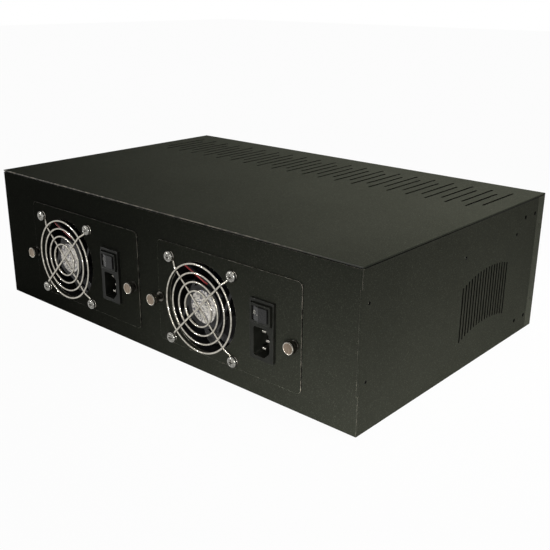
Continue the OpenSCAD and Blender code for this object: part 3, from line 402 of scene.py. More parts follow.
paint = powderCoat("powderCoat")
# The same coat lightened 1.7 times: painted light for the front frame's strip, which catches more light
stripPaint = powderCoat("stripPaint", 1.7)
# Edge coats: paint rubbed to bare metal, whose bright colours are also painted highlights on the edges
edgePaint = wornEdge("wornEdge")
plateEdgePaint = wornEdge("wornPlateEdge", (0.95, 0.89, 0.76))
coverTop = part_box("top_cover")[1].z
coverEdgePaint = wornEdge("wornCoverEdge", (0.98, 0.88, 0.70), wornEdgeAndHighlightValues["coverFade"],
                          coverTop - wornEdgeAndHighlightValues["deep"])
# Near-black painted shade for the walls of slots and holes and for the plates' upright edges
cutShade = plastic("cutShade", (0.003, 0.003, 0.003), (0.006, 0.006, 0.005), 0.7, 0.6 * mm, specular=0.05)
zincSheet = metal("zincSheet", (0.34, 0.35, 0.36), (0.48, 0.49, 0.50), 0.50, 14 * mm, 0.01 * mm)
platedMetal = metal("platedMetal", (0.60, 0.58, 0.54), (0.76, 0.74, 0.70), 0.24, 3 * mm)
brightChrome = metal("brightChrome", (0.30, 0.28, 0.24), (0.56, 0.53, 0.465), 0.13, 1.6 * mm, 0.02 * mm)
pinMetal = metal("pinMetal", (0.26, 0.25, 0.22), (0.40, 0.38, 0.34), 0.34, 2 * mm, 0.01 * mm)
screwMetal = metal("screwMetal", (0.10, 0.098, 0.088), (0.37, 0.36, 0.33), 0.24, 1.4 * mm, 0.04 * mm)
faceNickel = metal("faceNickel", (0.155, 0.120, 0.089), (0.26, 0.206, 0.157), 0.30, 1.2 * mm, 0.01 * mm,
                   (1, 1, 0.2))
knurlNickel = metal("knurlNickel", (0.07, 0.066, 0.056), (0.15, 0.14, 0.118), 0.30, 1.2 * mm, 0.01 * mm)
bareAluminium = metal("bareAluminium", (0.58, 0.58, 0.60), (0.72, 0.72, 0.74), 0.32, 6 * mm, 0.01 * mm,
                      (0.2, 1, 1))
goldPlate = metal("goldPlate", (0.80, 0.58, 0.22), (0.90, 0.68, 0.30), 0.22, 2 * mm)
blackMoulding = plastic("blackMoulding", (0.010, 0.010, 0.011), (0.020, 0.021, 0.021), 0.40, 0.5 * mm,
                        specular=0.25)
inletMoulding = plastic("inletMoulding", (0.014, 0.015, 0.012), (0.026, 0.027, 0.023), 0.42, 0.5 * mm,
                        specular=0.12)
fanPlastic = plastic("fanPlastic", (0.008, 0.008, 0.009), (0.016, 0.016, 0.017), 0.36, 0.6 * mm,
                     specular=0.35)
switchGloss = plastic("switchGloss", (0.012, 0.012, 0.012), (0.020, 0.020, 0.020), 0.26, 0.8 * mm,
                      0.004 * mm, 0.3)
markWhite = plastic("markWhite", (0.74, 0.72, 0.66), (0.86, 0.84, 0.78), 0.4, 0.3 * mm)
whiteMoulding = plastic("whiteMoulding", (0.66, 0.64, 0.56), (0.76, 0.74, 0.67), 0.45, 0.6 * mm)
tapeYellow = plastic("tapeYellow", (0.48, 0.34, 0.05), (0.62, 0.46, 0.09), 0.38, 1.2 * mm)
sleeve = plastic("sleeve", (0.014, 0.026, 0.075), (0.024, 0.040, 0.105), 0.26, 1 * mm)
redWire = plastic("redWire", (0.80, 0.040, 0.044), (0.95, 0.085, 0.088), 0.34, 0.6 * mm)
brownWire = plastic("brownWire", (0.11, 0.045, 0.018), (0.16, 0.065, 0.028), 0.34, 0.6 * mm)
blueWire = plastic("blueWire", (0.015, 0.06, 0.26), (0.025, 0.09, 0.36), 0.34, 0.6 * mm)
greenWire = plastic("greenWire", (0.05, 0.26, 0.04), (0.50, 0.48, 0.05), 0.34, 0.25 * mm)
rimNickel = metal("rimNickel", (0.62, 0.58, 0.50), (0.80, 0.77, 0.70), 0.22, 1.0 * mm)
# Lighter grey for the inlet housing's rounded edges: a painted highlight
inletEdge = plastic("inletEdge", (0.075, 0.076, 0.068), (0.13, 0.13, 0.115), 0.34, 0.6 * mm)
# Near-black painted shade: the strip in the seam under the cover and the nuts inside the front holes
seal = plastic("seal", (0.002, 0.002, 0.002), (0.004, 0.004, 0.004), 0.9, 0.6 * mm, specular=0.05)
boardGreen = circuitBoard()
labelFoil = foil()
print("materials ready")


# Meshes

def meshObject(name, points, faces, material, smooth=True):
    mesh = bpy.data.meshes.new(name)
    mesh.from_pydata(np.asarray(points, float).reshape(-1, 3).tolist(), [], faces)
    mesh.polygons.foreach_set("use_smooth", [smooth] * len(mesh.polygons))
    mesh.materials.append(material)
    mesh.update()
    made = bpy.data.objects.new(name, mesh)
    scene.collection.objects.link(made)
    return made


def gridFaces(rows, columns, closeRows=False, closeColumns=False, start=0):
    # Quads of a grid of rows by columns points, wrapped where asked
    r = np.arange(rows if closeRows else rows - 1)
    c = np.arange(columns if closeColumns else columns - 1)
    i, j = (a.ravel() for a in np.meshgrid(r, c, indexing="ij"))
    down, right = (i + 1) % rows, (j + 1) % columns
    quads = np.stack([i * columns + j, down * columns + j, down * columns + right, i * columns + right], 1)
    return (quads + start).tolist()


def joined(pieces):
    # One list of points and one of faces from several pairs
    points, faces, start = [], [], 0
    for p, f in pieces:
        p = np.asarray(p, float).reshape(-1, 3)
        points.append(p)
        faces += [[k + start for k in face] for face in f]
        start += len(p)
    return np.concatenate(points), faces


def fullTurn(steps):
    # Evenly spaced angles once round
    return np.linspace(0, 2 * math.pi, steps, endpoint=False)


def lathe(profile, centre, steps=48):
    # Turns (radius, y) pairs about an axis along Y: x = r cos t, z = r sin t; poles are closed by a fan
    profile = np.asarray(profile, float)
    t = fullTurn(steps)
    rings = profile[(profile[:, 0] > 0)]
    points = np.stack([np.outer(rings[:, 0], np.cos(t)), np.repeat(rings[:, 1:2], steps, 1),
                       np.outer(rings[:, 0], np.sin(t))], -1).reshape(-1, 3)
    faces = gridFaces(len(rings), steps, closeColumns=True)
    count = len(points)
    around = np.arange(steps)
    if profile[0, 0] <= 0:
        points = np.concatenate([points, [[0, profile[0, 1], 0]]])
        faces += [[count, int(a), int((a + 1) % steps)] for a in around]
        count += 1
    if profile[-1, 0] <= 0:
        base = (len(rings) - 1) * steps
        points = np.concatenate([points, [[0, profile[-1, 1], 0]]])
        faces += [[count, int(base + (a + 1) % steps), int(base + a)] for a in around]
    return points + np.asarray(centre), faces


def tube(path, radius, sides=16, closed=False):
    # Circle of that radius carried along a path: p + r (u cos a + w sin a), u kept square to the path
    path = np.asarray(path, float)
    ahead = np.roll(path, -1, 0) - np.roll(path, 1, 0)
    if not closed:
        ahead[0], ahead[-1] = path[1] - path[0], path[-1] - path[-2]
    ahead /= np.linalg.norm(ahead, axis=1)[:, None]
    u = np.empty_like(path)
    seed = np.array([0.31, 0.93, 0.17])
    for i, d in enumerate(ahead):
        seed = seed - (seed @ d) * d
        seed = seed / np.linalg.norm(seed)
        u[i] = seed
    w = np.cross(ahead, u)
    a = fullTurn(sides)
    points = path[:, None] + radius * (u[:, None] * np.cos(a)[:, None] + w[:, None] * np.sin(a)[:, None])
    faces = gridFaces(len(path), sides, closeRows=closed, closeColumns=True)
    faces = [f[::-1] for f in faces]
    if not closed:
        last = (len(path) - 1) * sides
        faces += [list(range(sides))[::-1], list(range(last, last + sides))]
    return points.reshape(-1, 3), faces


def spline(points, steps):
    # Smooth line through the points: the usual cubic with tangents (next - last) / 2
    p = np.asarray(points, float)
    a, b = np.vstack([p[:1], p[:-2], p[-2:-1]])[:len(p) - 1], p[:-1]
    c, d = p[1:], np.vstack([p[2:], p[-1:]])
    t = (np.arange(steps) / steps)[None, :, None]
    a, b, c, d = (x[:, None] for x in (a, b, c, d))
    square, cube = 2 * a - 5 * b + 4 * c - d, 3 * b - a - 3 * c + d
    line = 0.5 * (2 * b + (c - a) * t + square * t * t + cube * t ** 3)
    return np.vstack([line.reshape(-1, 3), p[-1:]])


mergeValues = {"own": 1e-6, "cad": 2e-6, "flat": 0.4}   # metres, metres and degrees


def fixNormals(made):
    # Merges doubles, then turns every face outwards
    work = bmesh.new()
    work.from_mesh(made.data)
    bmesh.ops.remove_doubles(work, verts=work.verts, dist=mergeValues["own"])
    bmesh.ops.recalc_face_normals(work, faces=work.faces)
    work.to_mesh(made.data)
    work.free()
    return made


def dressed(node, material, width, edgeMaterial=None, segments=2, smoothAngle=35):
    # Copy of a CAD node with true flat faces and small rounded edges; it replaces the node
    source = frame["nodes"][node]
    mesh = source.data.copy()
    work = bmesh.new()
    work.from_mesh(mesh)
    bmesh.ops.remove_doubles(work, verts=work.verts, dist=mergeValues["cad"])
    flat = math.radians(mergeValues["flat"])
    bmesh.ops.dissolve_limit(work, angle_limit=flat, verts=work.verts, edges=work.edges)
    bmesh.ops.recalc_face_normals(work, faces=work.faces)
    work.to_mesh(mesh)
    work.free()
    mesh.materials.clear()
    mesh.materials.append(material)
    if edgeMaterial:
        mesh.materials.append(edgeMaterial)
    mesh.polygons.foreach_set("use_smooth", [True] * len(mesh.polygons))
    made = bpy.data.objects.new(node + ".finished", mesh)
    scene.collection.objects.link(made)
    bevel = made.modifiers.new("edges", "BEVEL")
    bevel.width = width
    bevel.segments = segments
    bevel.limit_method = "ANGLE"
    bevel.angle_limit = math.radians(smoothAngle)
    bevel.harden_normals = False
    bevel.use_clamp_overlap = True
    if edgeMaterial:
        bevel.material = 1
    weighted = made.modifiers.new("shading", "WEIGHTED_NORMAL")
    weighted.keep_sharp = False
    return standFor(made, node)


def bodyOf(node):
    return frame["nodes"][node]["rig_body"]


def coated(node, material):
    # A CAD node whose shape is right keeps it and takes a finish
    mesh = frame["nodes"][node].data
    mesh.materials.clear()
    mesh.materials.append(material)


def standFor(made, node):
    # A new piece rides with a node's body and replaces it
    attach(made, bodyOf(node))
    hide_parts(node)
    return made


# Sheet metal

sheetValues = {
    "edge": 0.22 * mm,  # rounding of the folded sheets
    "coverEdge": 0.16 * mm,
    "plateEdge": 0.5 * mm,
    "seam": 0.8 * mm,  # how far the rear panel's upper edge is drawn down
    "sheet": 1.3 * mm,  # a little more than the sheets are thick
    "outline": 3 * mm,  # what lies nearer to a sheet's outline keeps its paint
    "near": 0.1 * mm,
    "across": 0.3,  # a cut's walls have less of their normal than this along the sheet's axis
    "facing": 0.9,  # a face that looks along an axis has more of it than this
}
seamShadowValues = {"inset": 0.08 * mm, "wide": 0.9 * mm, "tall": 1.0 * mm, "start": 2 * mm, "steps": 9}


def makeSeamShadow(node, hand):
    # Near-black strip that paints the shade in the groove between a side panel's fold and the cover, with a
    # half-round face
    v = seamShadowValues
    low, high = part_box(node)
    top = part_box("top_cover")[0].z
    edge = high.x if hand > 0 else low.x
    t = np.linspace(-math.pi / 2, math.pi / 2, v["steps"])
    x = edge - hand * (v["inset"] + v["wide"] / 2 * (1 - np.cos(t)))
    z = top - v["tall"] / 2 + v["tall"] / 2 * np.sin(t)
    x, z = np.append(x, [x[0] - hand * v["wide"]] * 2), np.append(z, [top, top - v["tall"]])
    ends = np.array([low.y + v["start"], high.y])
    grid = np.stack(np.broadcast_arrays(x[None], ends[:, None], z[None]), -1).reshape(-1, 3)
    n = len(x)
    faces = gridFaces(2, n, closeColumns=True) + [list(range(n)), list(range(n, 2 * n))]
    strip = fixNormals(meshObject("cover_seal_" + node.split("_")[-1], grid, faces, seal))
    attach(strip, "chassis")


def paintFaces(made, material, picked):
    # Gives the faces that picked(normals, centres) marks a further material
    mesh = made.data
    count = len(mesh.polygons)
    normals, centres, index = np.empty(count * 3), np.empty(count * 3), np.empty(count, int)
    mesh.polygons.foreach_get("normal", normals)
    mesh.polygons.foreach_get("center", centres)
    mesh.polygons.foreach_get("material_index", index)
    mesh.materials.append(material)
    index[picked(normals.reshape(-1, 3), centres.reshape(-1, 3))] = len(mesh.materials) - 1
    mesh.polygons.foreach_set("material_index", index)


def shadeCuts(made, node, axis, face, v):
    # Walls of the slots and holes in the sheet at that face, square to it and clear of its outline; they take
    # near-black painted shade
    low, high = (np.array(corner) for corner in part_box(node))
    others = [k for k in range(3) if k != axis]

    def picked(normals, centres):
        inside = np.abs(centres[:, axis] - face) < v["sheet"]
        for k in others:
            inside &= (centres[:, k] > low[k] + v["outline"]) & (centres[:, k] < high[k] - v["outline"])
        return inside & (np.abs(normals[:, axis]) < v["across"])

    paintFaces(made, cutShade, picked)


def makeSheets(values):
    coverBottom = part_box("top_cover")[0].z
    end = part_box("top_cover")[0].y

    def rearEnd(normals, centres):
        return (normals[:, 1] < -values["facing"]) & (centres[:, 1] < end + values["near"])

    def upright(normals, centres):
        return np.abs(normals[:, 0]) > values["facing"]

    for node, corner in (("side_panel_left", 0), ("side_panel_right", 1)):
        panel = dressed(node, paint, values["edge"])
        shadeCuts(panel, node, 0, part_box(node)[corner].x, values)
    cover = dressed("top_cover", paint, values["coverEdge"])
    shadeCuts(cover, "top_cover", 2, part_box("top_cover")[1].z, values)
    # The cover's rear end, where the coat is rubbed thin and a painted highlight fades out along X
    paintFaces(cover, coverEdgePaint, rearEnd)
    rear = dressed("rear_panel", paint, values["edge"], edgePaint)
    # The rear panel's upper edge is drawn down, which leaves the dark seam under the cover
    points = np.empty(len(rear.data.vertices) * 3)
    rear.data.vertices.foreach_get("co", points)
    points = points.reshape(-1, 3)
    outer = points[:, 1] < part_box("rear_panel")[0].y + values["sheet"]
    edge = outer & (points[:, 2] > coverBottom - values["near"])
    points[edge, 2] -= values["seam"]
    rear.data.vertices.foreach_set("co", points.ravel())
    rear.data.update()
    # The front frame takes the lightened coat: painted light
    dressed("front_frame", stripPaint, values["edge"], edgePaint)
    dressed("base_pan", paint, values["edge"])
    for side in sides:
        plate = dressed("psu_plate_" + side, paint, values["plateEdge"], plateEdgePaint)
        # The upright edges take near-black painted shade, standing for the dark seam and shadow beside the
        # plate
        paintFaces(plate, cutShade, upright)
    for node in ("bulkhead", "card_tray_lower", "card_tray_upper", "module_rails"):
        coated(node, zincSheet)
    for side in sides:
        for node in ("psu_tray_", "psu_lid_"):
            coated(node + side, zincSheet)
    makeSeamShadow("side_panel_left", -1)
    makeSeamShadow("side_panel_right", 1)


makeSheets(sheetValues)
print("sheet metal done")


# Finger guard: rings, two diagonals with their knees and feet, and an eye round each screw

guardValues = {
    "wire": 0.85 * mm,  # radius
    "rings": 4,
    "ringStep": 7.43 * mm,
    "ringIn": 0.7 * mm,  # from the fan's bore
    "fanWall": 2.0 * mm,
    "fanScrewIn": 8.5 * mm,  # fan size less screw spacing
    "eye": 3.6 * mm,  # radius of an eye's middle line
    "weld": 0.25 * mm,  # how far crossing wires sink into each other
    "head": 9.5 * mm,  # screw head that the feet keep clear of
    "headGap": 0.3 * mm,
    "bend": 1.4 * mm,
    "bendSteps": 7,
    "ringSteps": 120,
    "wireSides": 14,
}


def fanCentre(side):
    low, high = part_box("fan_label_" + side)
    return (low + high) / 2


def fanHalf(side):
    low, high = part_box("fan_frame_" + side)
    return (high.x - low.x) / 2


def makeGuard(side, v):
    centre = fanCentre(side)
    half = fanHalf(side)
    low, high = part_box("fan_guard_" + side)
    bore = half - v["fanWall"]
    outer = bore - v["ringIn"]
    corner = (half - v["fanScrewIn"] / 2) * math.sqrt(2)
    footY = high.y - v["wire"]
    frontY = low.y + v["wire"]
    step = 2 * v["wire"] - v["weld"]
    ringY = frontY + step
    t = fullTurn(v["ringSteps"])
    eyeTurn = t[::2]
    parts = []
    for k in range(v["rings"]):
        r = outer - k * v["ringStep"]
        ring = np.stack([centre.x + r * np.cos(t), np.full_like(t, ringY), centre.z + r * np.sin(t)], 1)
        parts.append(tube(ring, v["wire"], v["wireSides"], closed=True))
    headClear = (v["head"] + 2 * v["wire"]) / 2 + v["headGap"]
    for k, y in ((0, frontY), (1, ringY + step)):
        a = math.radians(45 - 90 * k)
        along = np.array([math.cos(a), 0, math.sin(a)])
        stations = [(-corner + v["eye"], footY), (-corner + headClear, footY), (-outer - 2 * v["wire"], y),
                    (outer + 2 * v["wire"], y), (corner - headClear, footY), (corner - v["eye"], footY)]
        line = roundedLine([np.array([s, h]) for s, h in stations], v["bend"], v["bendSteps"])
        path = np.array([centre.x, 0, centre.z]) + line[:, :1] * along + line[:, 1:] * np.array([0, 1, 0])
        parts.append(tube(path, v["wire"], v["wireSides"]))
        for s in (-1, 1):
            eye = np.array([centre.x, footY, centre.z]) + s * corner * along
            circle = np.stack([eye[0] + v["eye"] * np.cos(eyeTurn), np.full_like(eyeTurn, footY),
                               eye[2] + v["eye"] * np.sin(eyeTurn)], 1)
            parts.append(tube(circle, v["wire"], v["wireSides"], closed=True))
    guard = meshObject("finger_guard_" + side, *joined(parts), brightChrome)
    standFor(fixNormals(guard), "fan_guard_" + side)


def roundedLine(stations, radius, steps):
    # Straight runs whose corners are eased by a quadratic curve that starts radius before each
    line = [stations[0]]
    for before, here, after in zip(stations, stations[1:], stations[2:]):
        a = here + (before - here) / np.linalg.norm(before - here) * radius
        b = here + (after - here) / np.linalg.norm(after - here) * radius
        for t in np.linspace(0, 1, steps):
            line.append((1 - t) ** 2 * a + 2 * t * (1 - t) * here + t * t * b)
    line.append(stations[-1])
    return np.array(line)


screwValues = {
    "radius": 4.75 * mm,
    "height": 3.0 * mm,
    "rim": 0.26,  # share of the height that stands at the rim
    "recess": 2.6 * mm,  # half length of the cross
    "slot": 0.62 * mm,  # half width of its bars
    "depth": 1.5 * mm,
    "slotWall": 0.25 * mm,
    "recessWall": 0.7 * mm,
    "shank": 2 * mm,  # radius
    "rows": 44,
    "steps": 72,
    "shankSteps": 24,
}


def crossBar(across, along, v):
    # 1 inside one bar of the cross, falling to 0 over its sloping walls
    side = np.clip((v["slot"] - np.abs(across)) / v["slotWall"], 0, 1)
    return side * np.clip((v["recess"] - np.abs(along)) / v["recessWall"], 0, 1)


def makeGuardScrews(side, v):
    # Pan head of height h (rim + (1 - rim) (1 - (r/R)^4)^0.45), less a cross recess
    low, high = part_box("guard_screws_" + side)
    headBack = low.y + v["height"]
    rows, steps = v["rows"], v["steps"]
    share = np.sin(np.linspace(0.02, math.pi / 2, rows))
    t = fullTurn(steps)
    r = (v["radius"] * share)[:, None] * np.ones(steps)
    px, pz = r * np.cos(t), r * np.sin(t)
    crown = np.clip(1 - (r / v["radius"]) ** 4, 0, 1) ** 0.45
    dome = v["height"] * (v["rim"] + (1 - v["rim"]) * crown)
    cross = np.maximum(crossBar(pz, px, v), crossBar(px, pz, v))
    y = headBack - dome + v["depth"] * cross
    faces = gridFaces(rows + 1, steps, closeColumns=True)
    faces += [list(range(steps))[::-1], list(range(rows * steps, (rows + 1) * steps))]
    shank = [(0, headBack), (v["shank"], headBack), (v["shank"], high.y), (0, high.y)]
    parts = []
    for x in (low.x + v["radius"], high.x - v["radius"]):
        for z in (low.z + v["radius"], high.z - v["radius"]):
            cap = np.stack([x + px, y, z + pz], -1)
            skirt = np.stack([x + px[-1:], np.full((1, steps), headBack), z + pz[-1:]], -1)
            parts.append((np.concatenate([cap, skirt]).reshape(-1, 3), faces))
            parts.append(lathe(shank, (x, 0, z), v["shankSteps"]))
    screws = meshObject("pan_screws_" + side, *joined(parts), screwMetal)
    standFor(fixNormals(screws), "guard_screws_" + side)


# Fan rotor: cup with a rounded rim and seven swept blades of curved section

rotorValues = {
    "blades": 7,
    "cup": 17.2 * mm,  # radius
    "tip": 37.0 * mm,  # radius
    "hubIn": 2.6 * mm,  # from the shaft's front end to the cup
    "rim": 1.2 * mm,
    "shaft": 1.5 * mm,  # radius
    "root": 0.6 * mm,  # how deep a blade sits in the cup
    "clear": 0.3 * mm,
    "sweep": 0.42,  # radians from root to tip
    "pitchRoot": 44,  # degrees
    "pitchTip": 27,
    "chordRoot": 15.5 * mm,
    "chordTip": 23 * mm,
    "camber": 0.11,
    "thick": 1.4 * mm,
    "thinning": 0.4,  # share of the thickness lost at the tip
    "rows": 16,
    "columns": 18,
    "cupSteps": 72,
    "shaftSteps": 20,
    "bendSteps": 6,
}


def makeRotor(side, v):
    low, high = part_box("fan_rotor_" + side)
    centre = fanCentre(side)
    front, back = low.y + v["hubIn"], high.y
    rim, lip, shaft = v["rim"], v["rim"] / 2, v["shaft"]
    axis = (centre.x, 0, centre.z)
    quarterTurn, halfTurn = (np.linspace(0, end, v["bendSteps"]) for end in (math.pi / 2, math.pi))
    shell = [(0, back)]
    shell += [(v["cup"] - rim + rim * math.sin(a), back - rim + rim * math.cos(a)) for a in quarterTurn]
    shell += [(v["cup"], front + rim)]
    shell += [(v["cup"] - lip + lip * math.cos(a), front + lip - lip * math.sin(a)) for a in halfTurn]
    shell += [(v["cup"] - rim, back - 2 * rim), (0, back - 2 * rim)]
    pin = [(0, low.y), (shaft, low.y), (shaft, back - rim), (0, back - rim)]
    parts = [lathe(shell, axis, v["cupSteps"]), lathe(pin, axis, v["shaftSteps"])]
    rows, columns = v["rows"], v["columns"]
    s = np.linspace(0, 1, rows)[:, None]
    c = np.linspace(-0.5, 0.5, columns)[None, :]
    midY = (front + back) / 2
    # Blade at span s and chord c: bow = camber chord (1 - 4 c^2), turned by the pitch, with the skins
    # half = thick/2 (1 - 4 c^2)^0.5 (1 - thinning s) away, at angle 2 pi k/n + sweep s^1.5 + turn/r
    r = v["cup"] - v["root"] + s * (v["tip"] - v["cup"] + v["root"])
    chord = v["chordRoot"] + (v["chordTip"] - v["chordRoot"]) * s
    pitch = np.radians(v["pitchRoot"] + (v["pitchTip"] - v["pitchRoot"]) * s)
    bow = v["camber"] * chord * (1 - 4 * c * c)
    turn = chord * c * np.cos(pitch) - bow * np.sin(pitch)
    y = chord * c * np.sin(pitch) + bow * np.cos(pitch)
    half = v["thick"] / 2 * np.sqrt(np.clip(1 - (2 * c) ** 2, 0.02, 1)) * (1 - v["thinning"] * s)
    n = rows * columns
    faces = gridFaces(rows, columns) + [f[::-1] for f in gridFaces(rows, columns, start=n)]
    edge = [i * columns for i in range(rows)] + [(rows - 1) * columns + j for j in range(1, columns)]
    edge += [i * columns + columns - 1 for i in range(rows - 2, -1, -1)] + list(range(columns - 2, 0, -1))
    faces += [[a, b, b + n, a + n] for a, b in zip(edge, edge[1:] + edge[:1])]
    for k in range(v["blades"]):
        angle = 2 * math.pi * k / v["blades"] + v["sweep"] * s ** 1.5 + turn / r
        skins = []
        for sign in (1, -1):
            yy = np.clip(midY + y + sign * half, front + v["clear"], back - v["clear"])
            skins.append(np.stack([centre.x + r * np.cos(angle), yy, centre.z + r * np.sin(angle)], -1))
        parts.append((np.concatenate(skins).reshape(-1, 3), faces))
    rotor = meshObject("rotor_" + side, *joined(parts), fanPlastic)
    standFor(fixNormals(rotor), "fan_rotor_" + side)


labelValues = {
    "crumple": 0.10 * mm,
    "rippled": 0.55,  # share of the crumple that ripples
    "waves": (1.1 * mm, 0.9 * mm, 2.3 * mm),
    "border": 1.5 * mm,  # where the ripples die away
    "rows": 44,
    "steps": 120,
}


def makeLabel(side, v):
    # Foil disc whose face ripples: y = front + a (sin x/p cos z/q + 0.6 sin (x + z)/s)
    low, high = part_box("fan_label_" + side)
    centre = (low + high) / 2
    radius = (high.x - low.x) / 2
    r = np.linspace(0.01, 1, v["rows"])[:, None] * radius
    t = fullTurn(v["steps"])[None, :]
    px, pz = r * np.cos(t), r * np.sin(t)
    first, second, third = v["waves"]
    ripple = np.sin(px / first) * np.cos(pz / second) + 0.6 * np.sin((px + pz) / third)
    fade = np.clip((radius - r) / v["border"], 0, 1)
    y = low.y + v["crumple"] + v["crumple"] * v["rippled"] * ripple * fade
    face = np.stack([centre.x + px, y, centre.z + pz], -1)
    back = np.stack([centre.x + px[-1:], np.full((1, v["steps"]), high.y), centre.z + pz[-1:]], -1)
    grid = np.concatenate([face, back]).reshape(-1, 3)
    faces = gridFaces(v["rows"] + 1, v["steps"], closeColumns=True)
    n = v["steps"]
    faces += [list(range(n))[::-1], list(range(v["rows"] * n, (v["rows"] + 1) * n))]
    label = fixNormals(meshObject("label_" + side, grid, faces, labelFoil))
    standFor(label, "fan_label_" + side)


frameValues = {"edge": 0.25 * mm}

for side in sides:
    makeGuard(side, guardValues)
    makeGuardScrews(side, screwValues)
    makeRotor(side, rotorValues)
    makeLabel(side, labelValues)
    dressed("fan_frame_" + side, fanPlastic, frameValues["edge"])
print("fans done")


# Leads inside the modules, along the CAD model's routes

leadValues = {
    "fanLead": 0.65 * mm,  # radius
    "mainsLead": 1.1 * mm,  # radius
    "steps": 8,
    "sides": 12,
    # The fan lead's route in mm, as the CAD model has it
    "fanBore": 1.3,
    "gap": 2.2,
    "notch": 3.0,
    "sideGap": 2.35,
    "fanDepth": 25,
    "footRise": 0.6,
    "hub": (2, 20),
    "rim": (-23, 31),
    # The mains leads
    "tail": 5 * mm,
    "rise": 0.6 * mm,
    "shares": (0.7, 0.94, 0.82),  # of the circuit board's width
    "tabs": ((-2, -7), (2, 0), (-2, 7)),  # mm from the middle of the pins
}


def makeFanLead(side, v):
    low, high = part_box("fan_frame_" + side)
    centre = fanCentre(side)
    lead, gap, depth = v["fanBore"], v["gap"], v["fanDepth"]
    half = (high.x - low.x) / 2 / mm
    face, back = v["notch"] - lead, depth + gap
    topZ, sideX = half + gap / 2, -half - v["sideGap"] / 2
    footZ = (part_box("psu_board_" + side)[1].z - centre.z) / mm + v["footRise"]
    boardY = (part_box("psu_board_" + side)[0].y - low.y) / mm
    (hubX, hubZ), (rimX, rimZ) = v["hub"], v["rim"]
    route = [(hubX + lead, face, hubZ), ((hubX + rimX) / 2, face, (hubZ + rimZ) / 2),
             (rimX + gap, face, rimZ - lead), (rimX, face, rimZ + gap), (rimX, face, topZ - gap),
             (rimX, face + gap, topZ), (rimX - gap, depth / 2, topZ), (sideX + 3 * gap, depth - gap, topZ),
             (sideX, depth + gap / 2, topZ - gap / 2), (sideX, back, topZ - 4 * gap),
             (sideX + lead, back + lead, 0), (sideX + gap, back + gap, footZ + 4 * gap),
             (sideX + 3 * gap, boardY + 2 * gap, footZ + gap), (sideX + 4 * gap, boardY + 3 * gap, footZ)]
    origin = np.array([centre.x, low.y, centre.z])
    points, faces = tube(spline(np.array(route) * mm, v["steps"]) + origin, v["fanLead"], v["sides"])
    standFor(fixNormals(meshObject("red_lead_" + side, points, faces, redWire)), "fan_lead_" + side)


def makeMainsLeads(side, v):
    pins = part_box("inlet_pins_" + side)
    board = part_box("psu_board_" + side)
    tail, end = v["tail"], v["rise"]
    midX, midZ = (pins[0].x + pins[1].x) / 2, (pins[0].z + pins[1].z) / 2
    names, colours = ("live", "earth", "neutral"), (brownWire, greenWire, blueWire)
    made = []
    for name, colour, share, tab in zip(names, colours, v["shares"], v["tabs"]):
        foot = np.array([board[0].x + share * (board[1].x - board[0].x), board[0].y + tail, board[1].z + end])
        tip = np.array([midX + tab[0] * mm, pins[1].y + end, midZ + tab[1] * mm])
        out = tip + [0, tail, 0]
        middle = np.array([(foot[0] + out[0]) / 2, out[1] + tail, foot[2] + 2 * tail])
        path = spline([tip, out, middle, foot + [0, 0, tail], foot], v["steps"])
        lead = tube(path, v["mainsLead"], v["sides"])
        made.append(fixNormals(meshObject("%s_lead_%s" % (name, side), *lead, colour)))
    standFor(made[0], "mains_leads_" + side)
    for piece in made[1:]:
        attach(piece, "power_module_" + side)


for side in sides:
    makeFanLead(side, leadValues)
    makeMainsLeads(side, leadValues)
print("leads done")


# Mains inlet with its switch

inletValues = {
    "housingEdge": 0.28 * mm,
    "pinEdge": 0.55 * mm,
    "rockerEdge": 0.5 * mm,
    "half": 8.1 * mm,  # half width
    "tall": 5.6 * mm,  # half height
    "pivotIn": 5.0 * mm,  # from the ridge
    "faceRise": 1.4 * mm,
    "tilt": -7.0,  # degrees at rest
    "oRadius": 1.55 * mm,
    "oNarrow": 0.8,
    "oLine": 0.2 * mm,
    "oPlace": (-0.62, 0.12),  # shares of the half width and half height
    "dash": 1.5 * mm,
    "dashLine": 1.1,  # times the line of the O
    "dashPlace": (-0.2, -0.12),
    "oSteps": 40,
    "lineSides": 8,
}


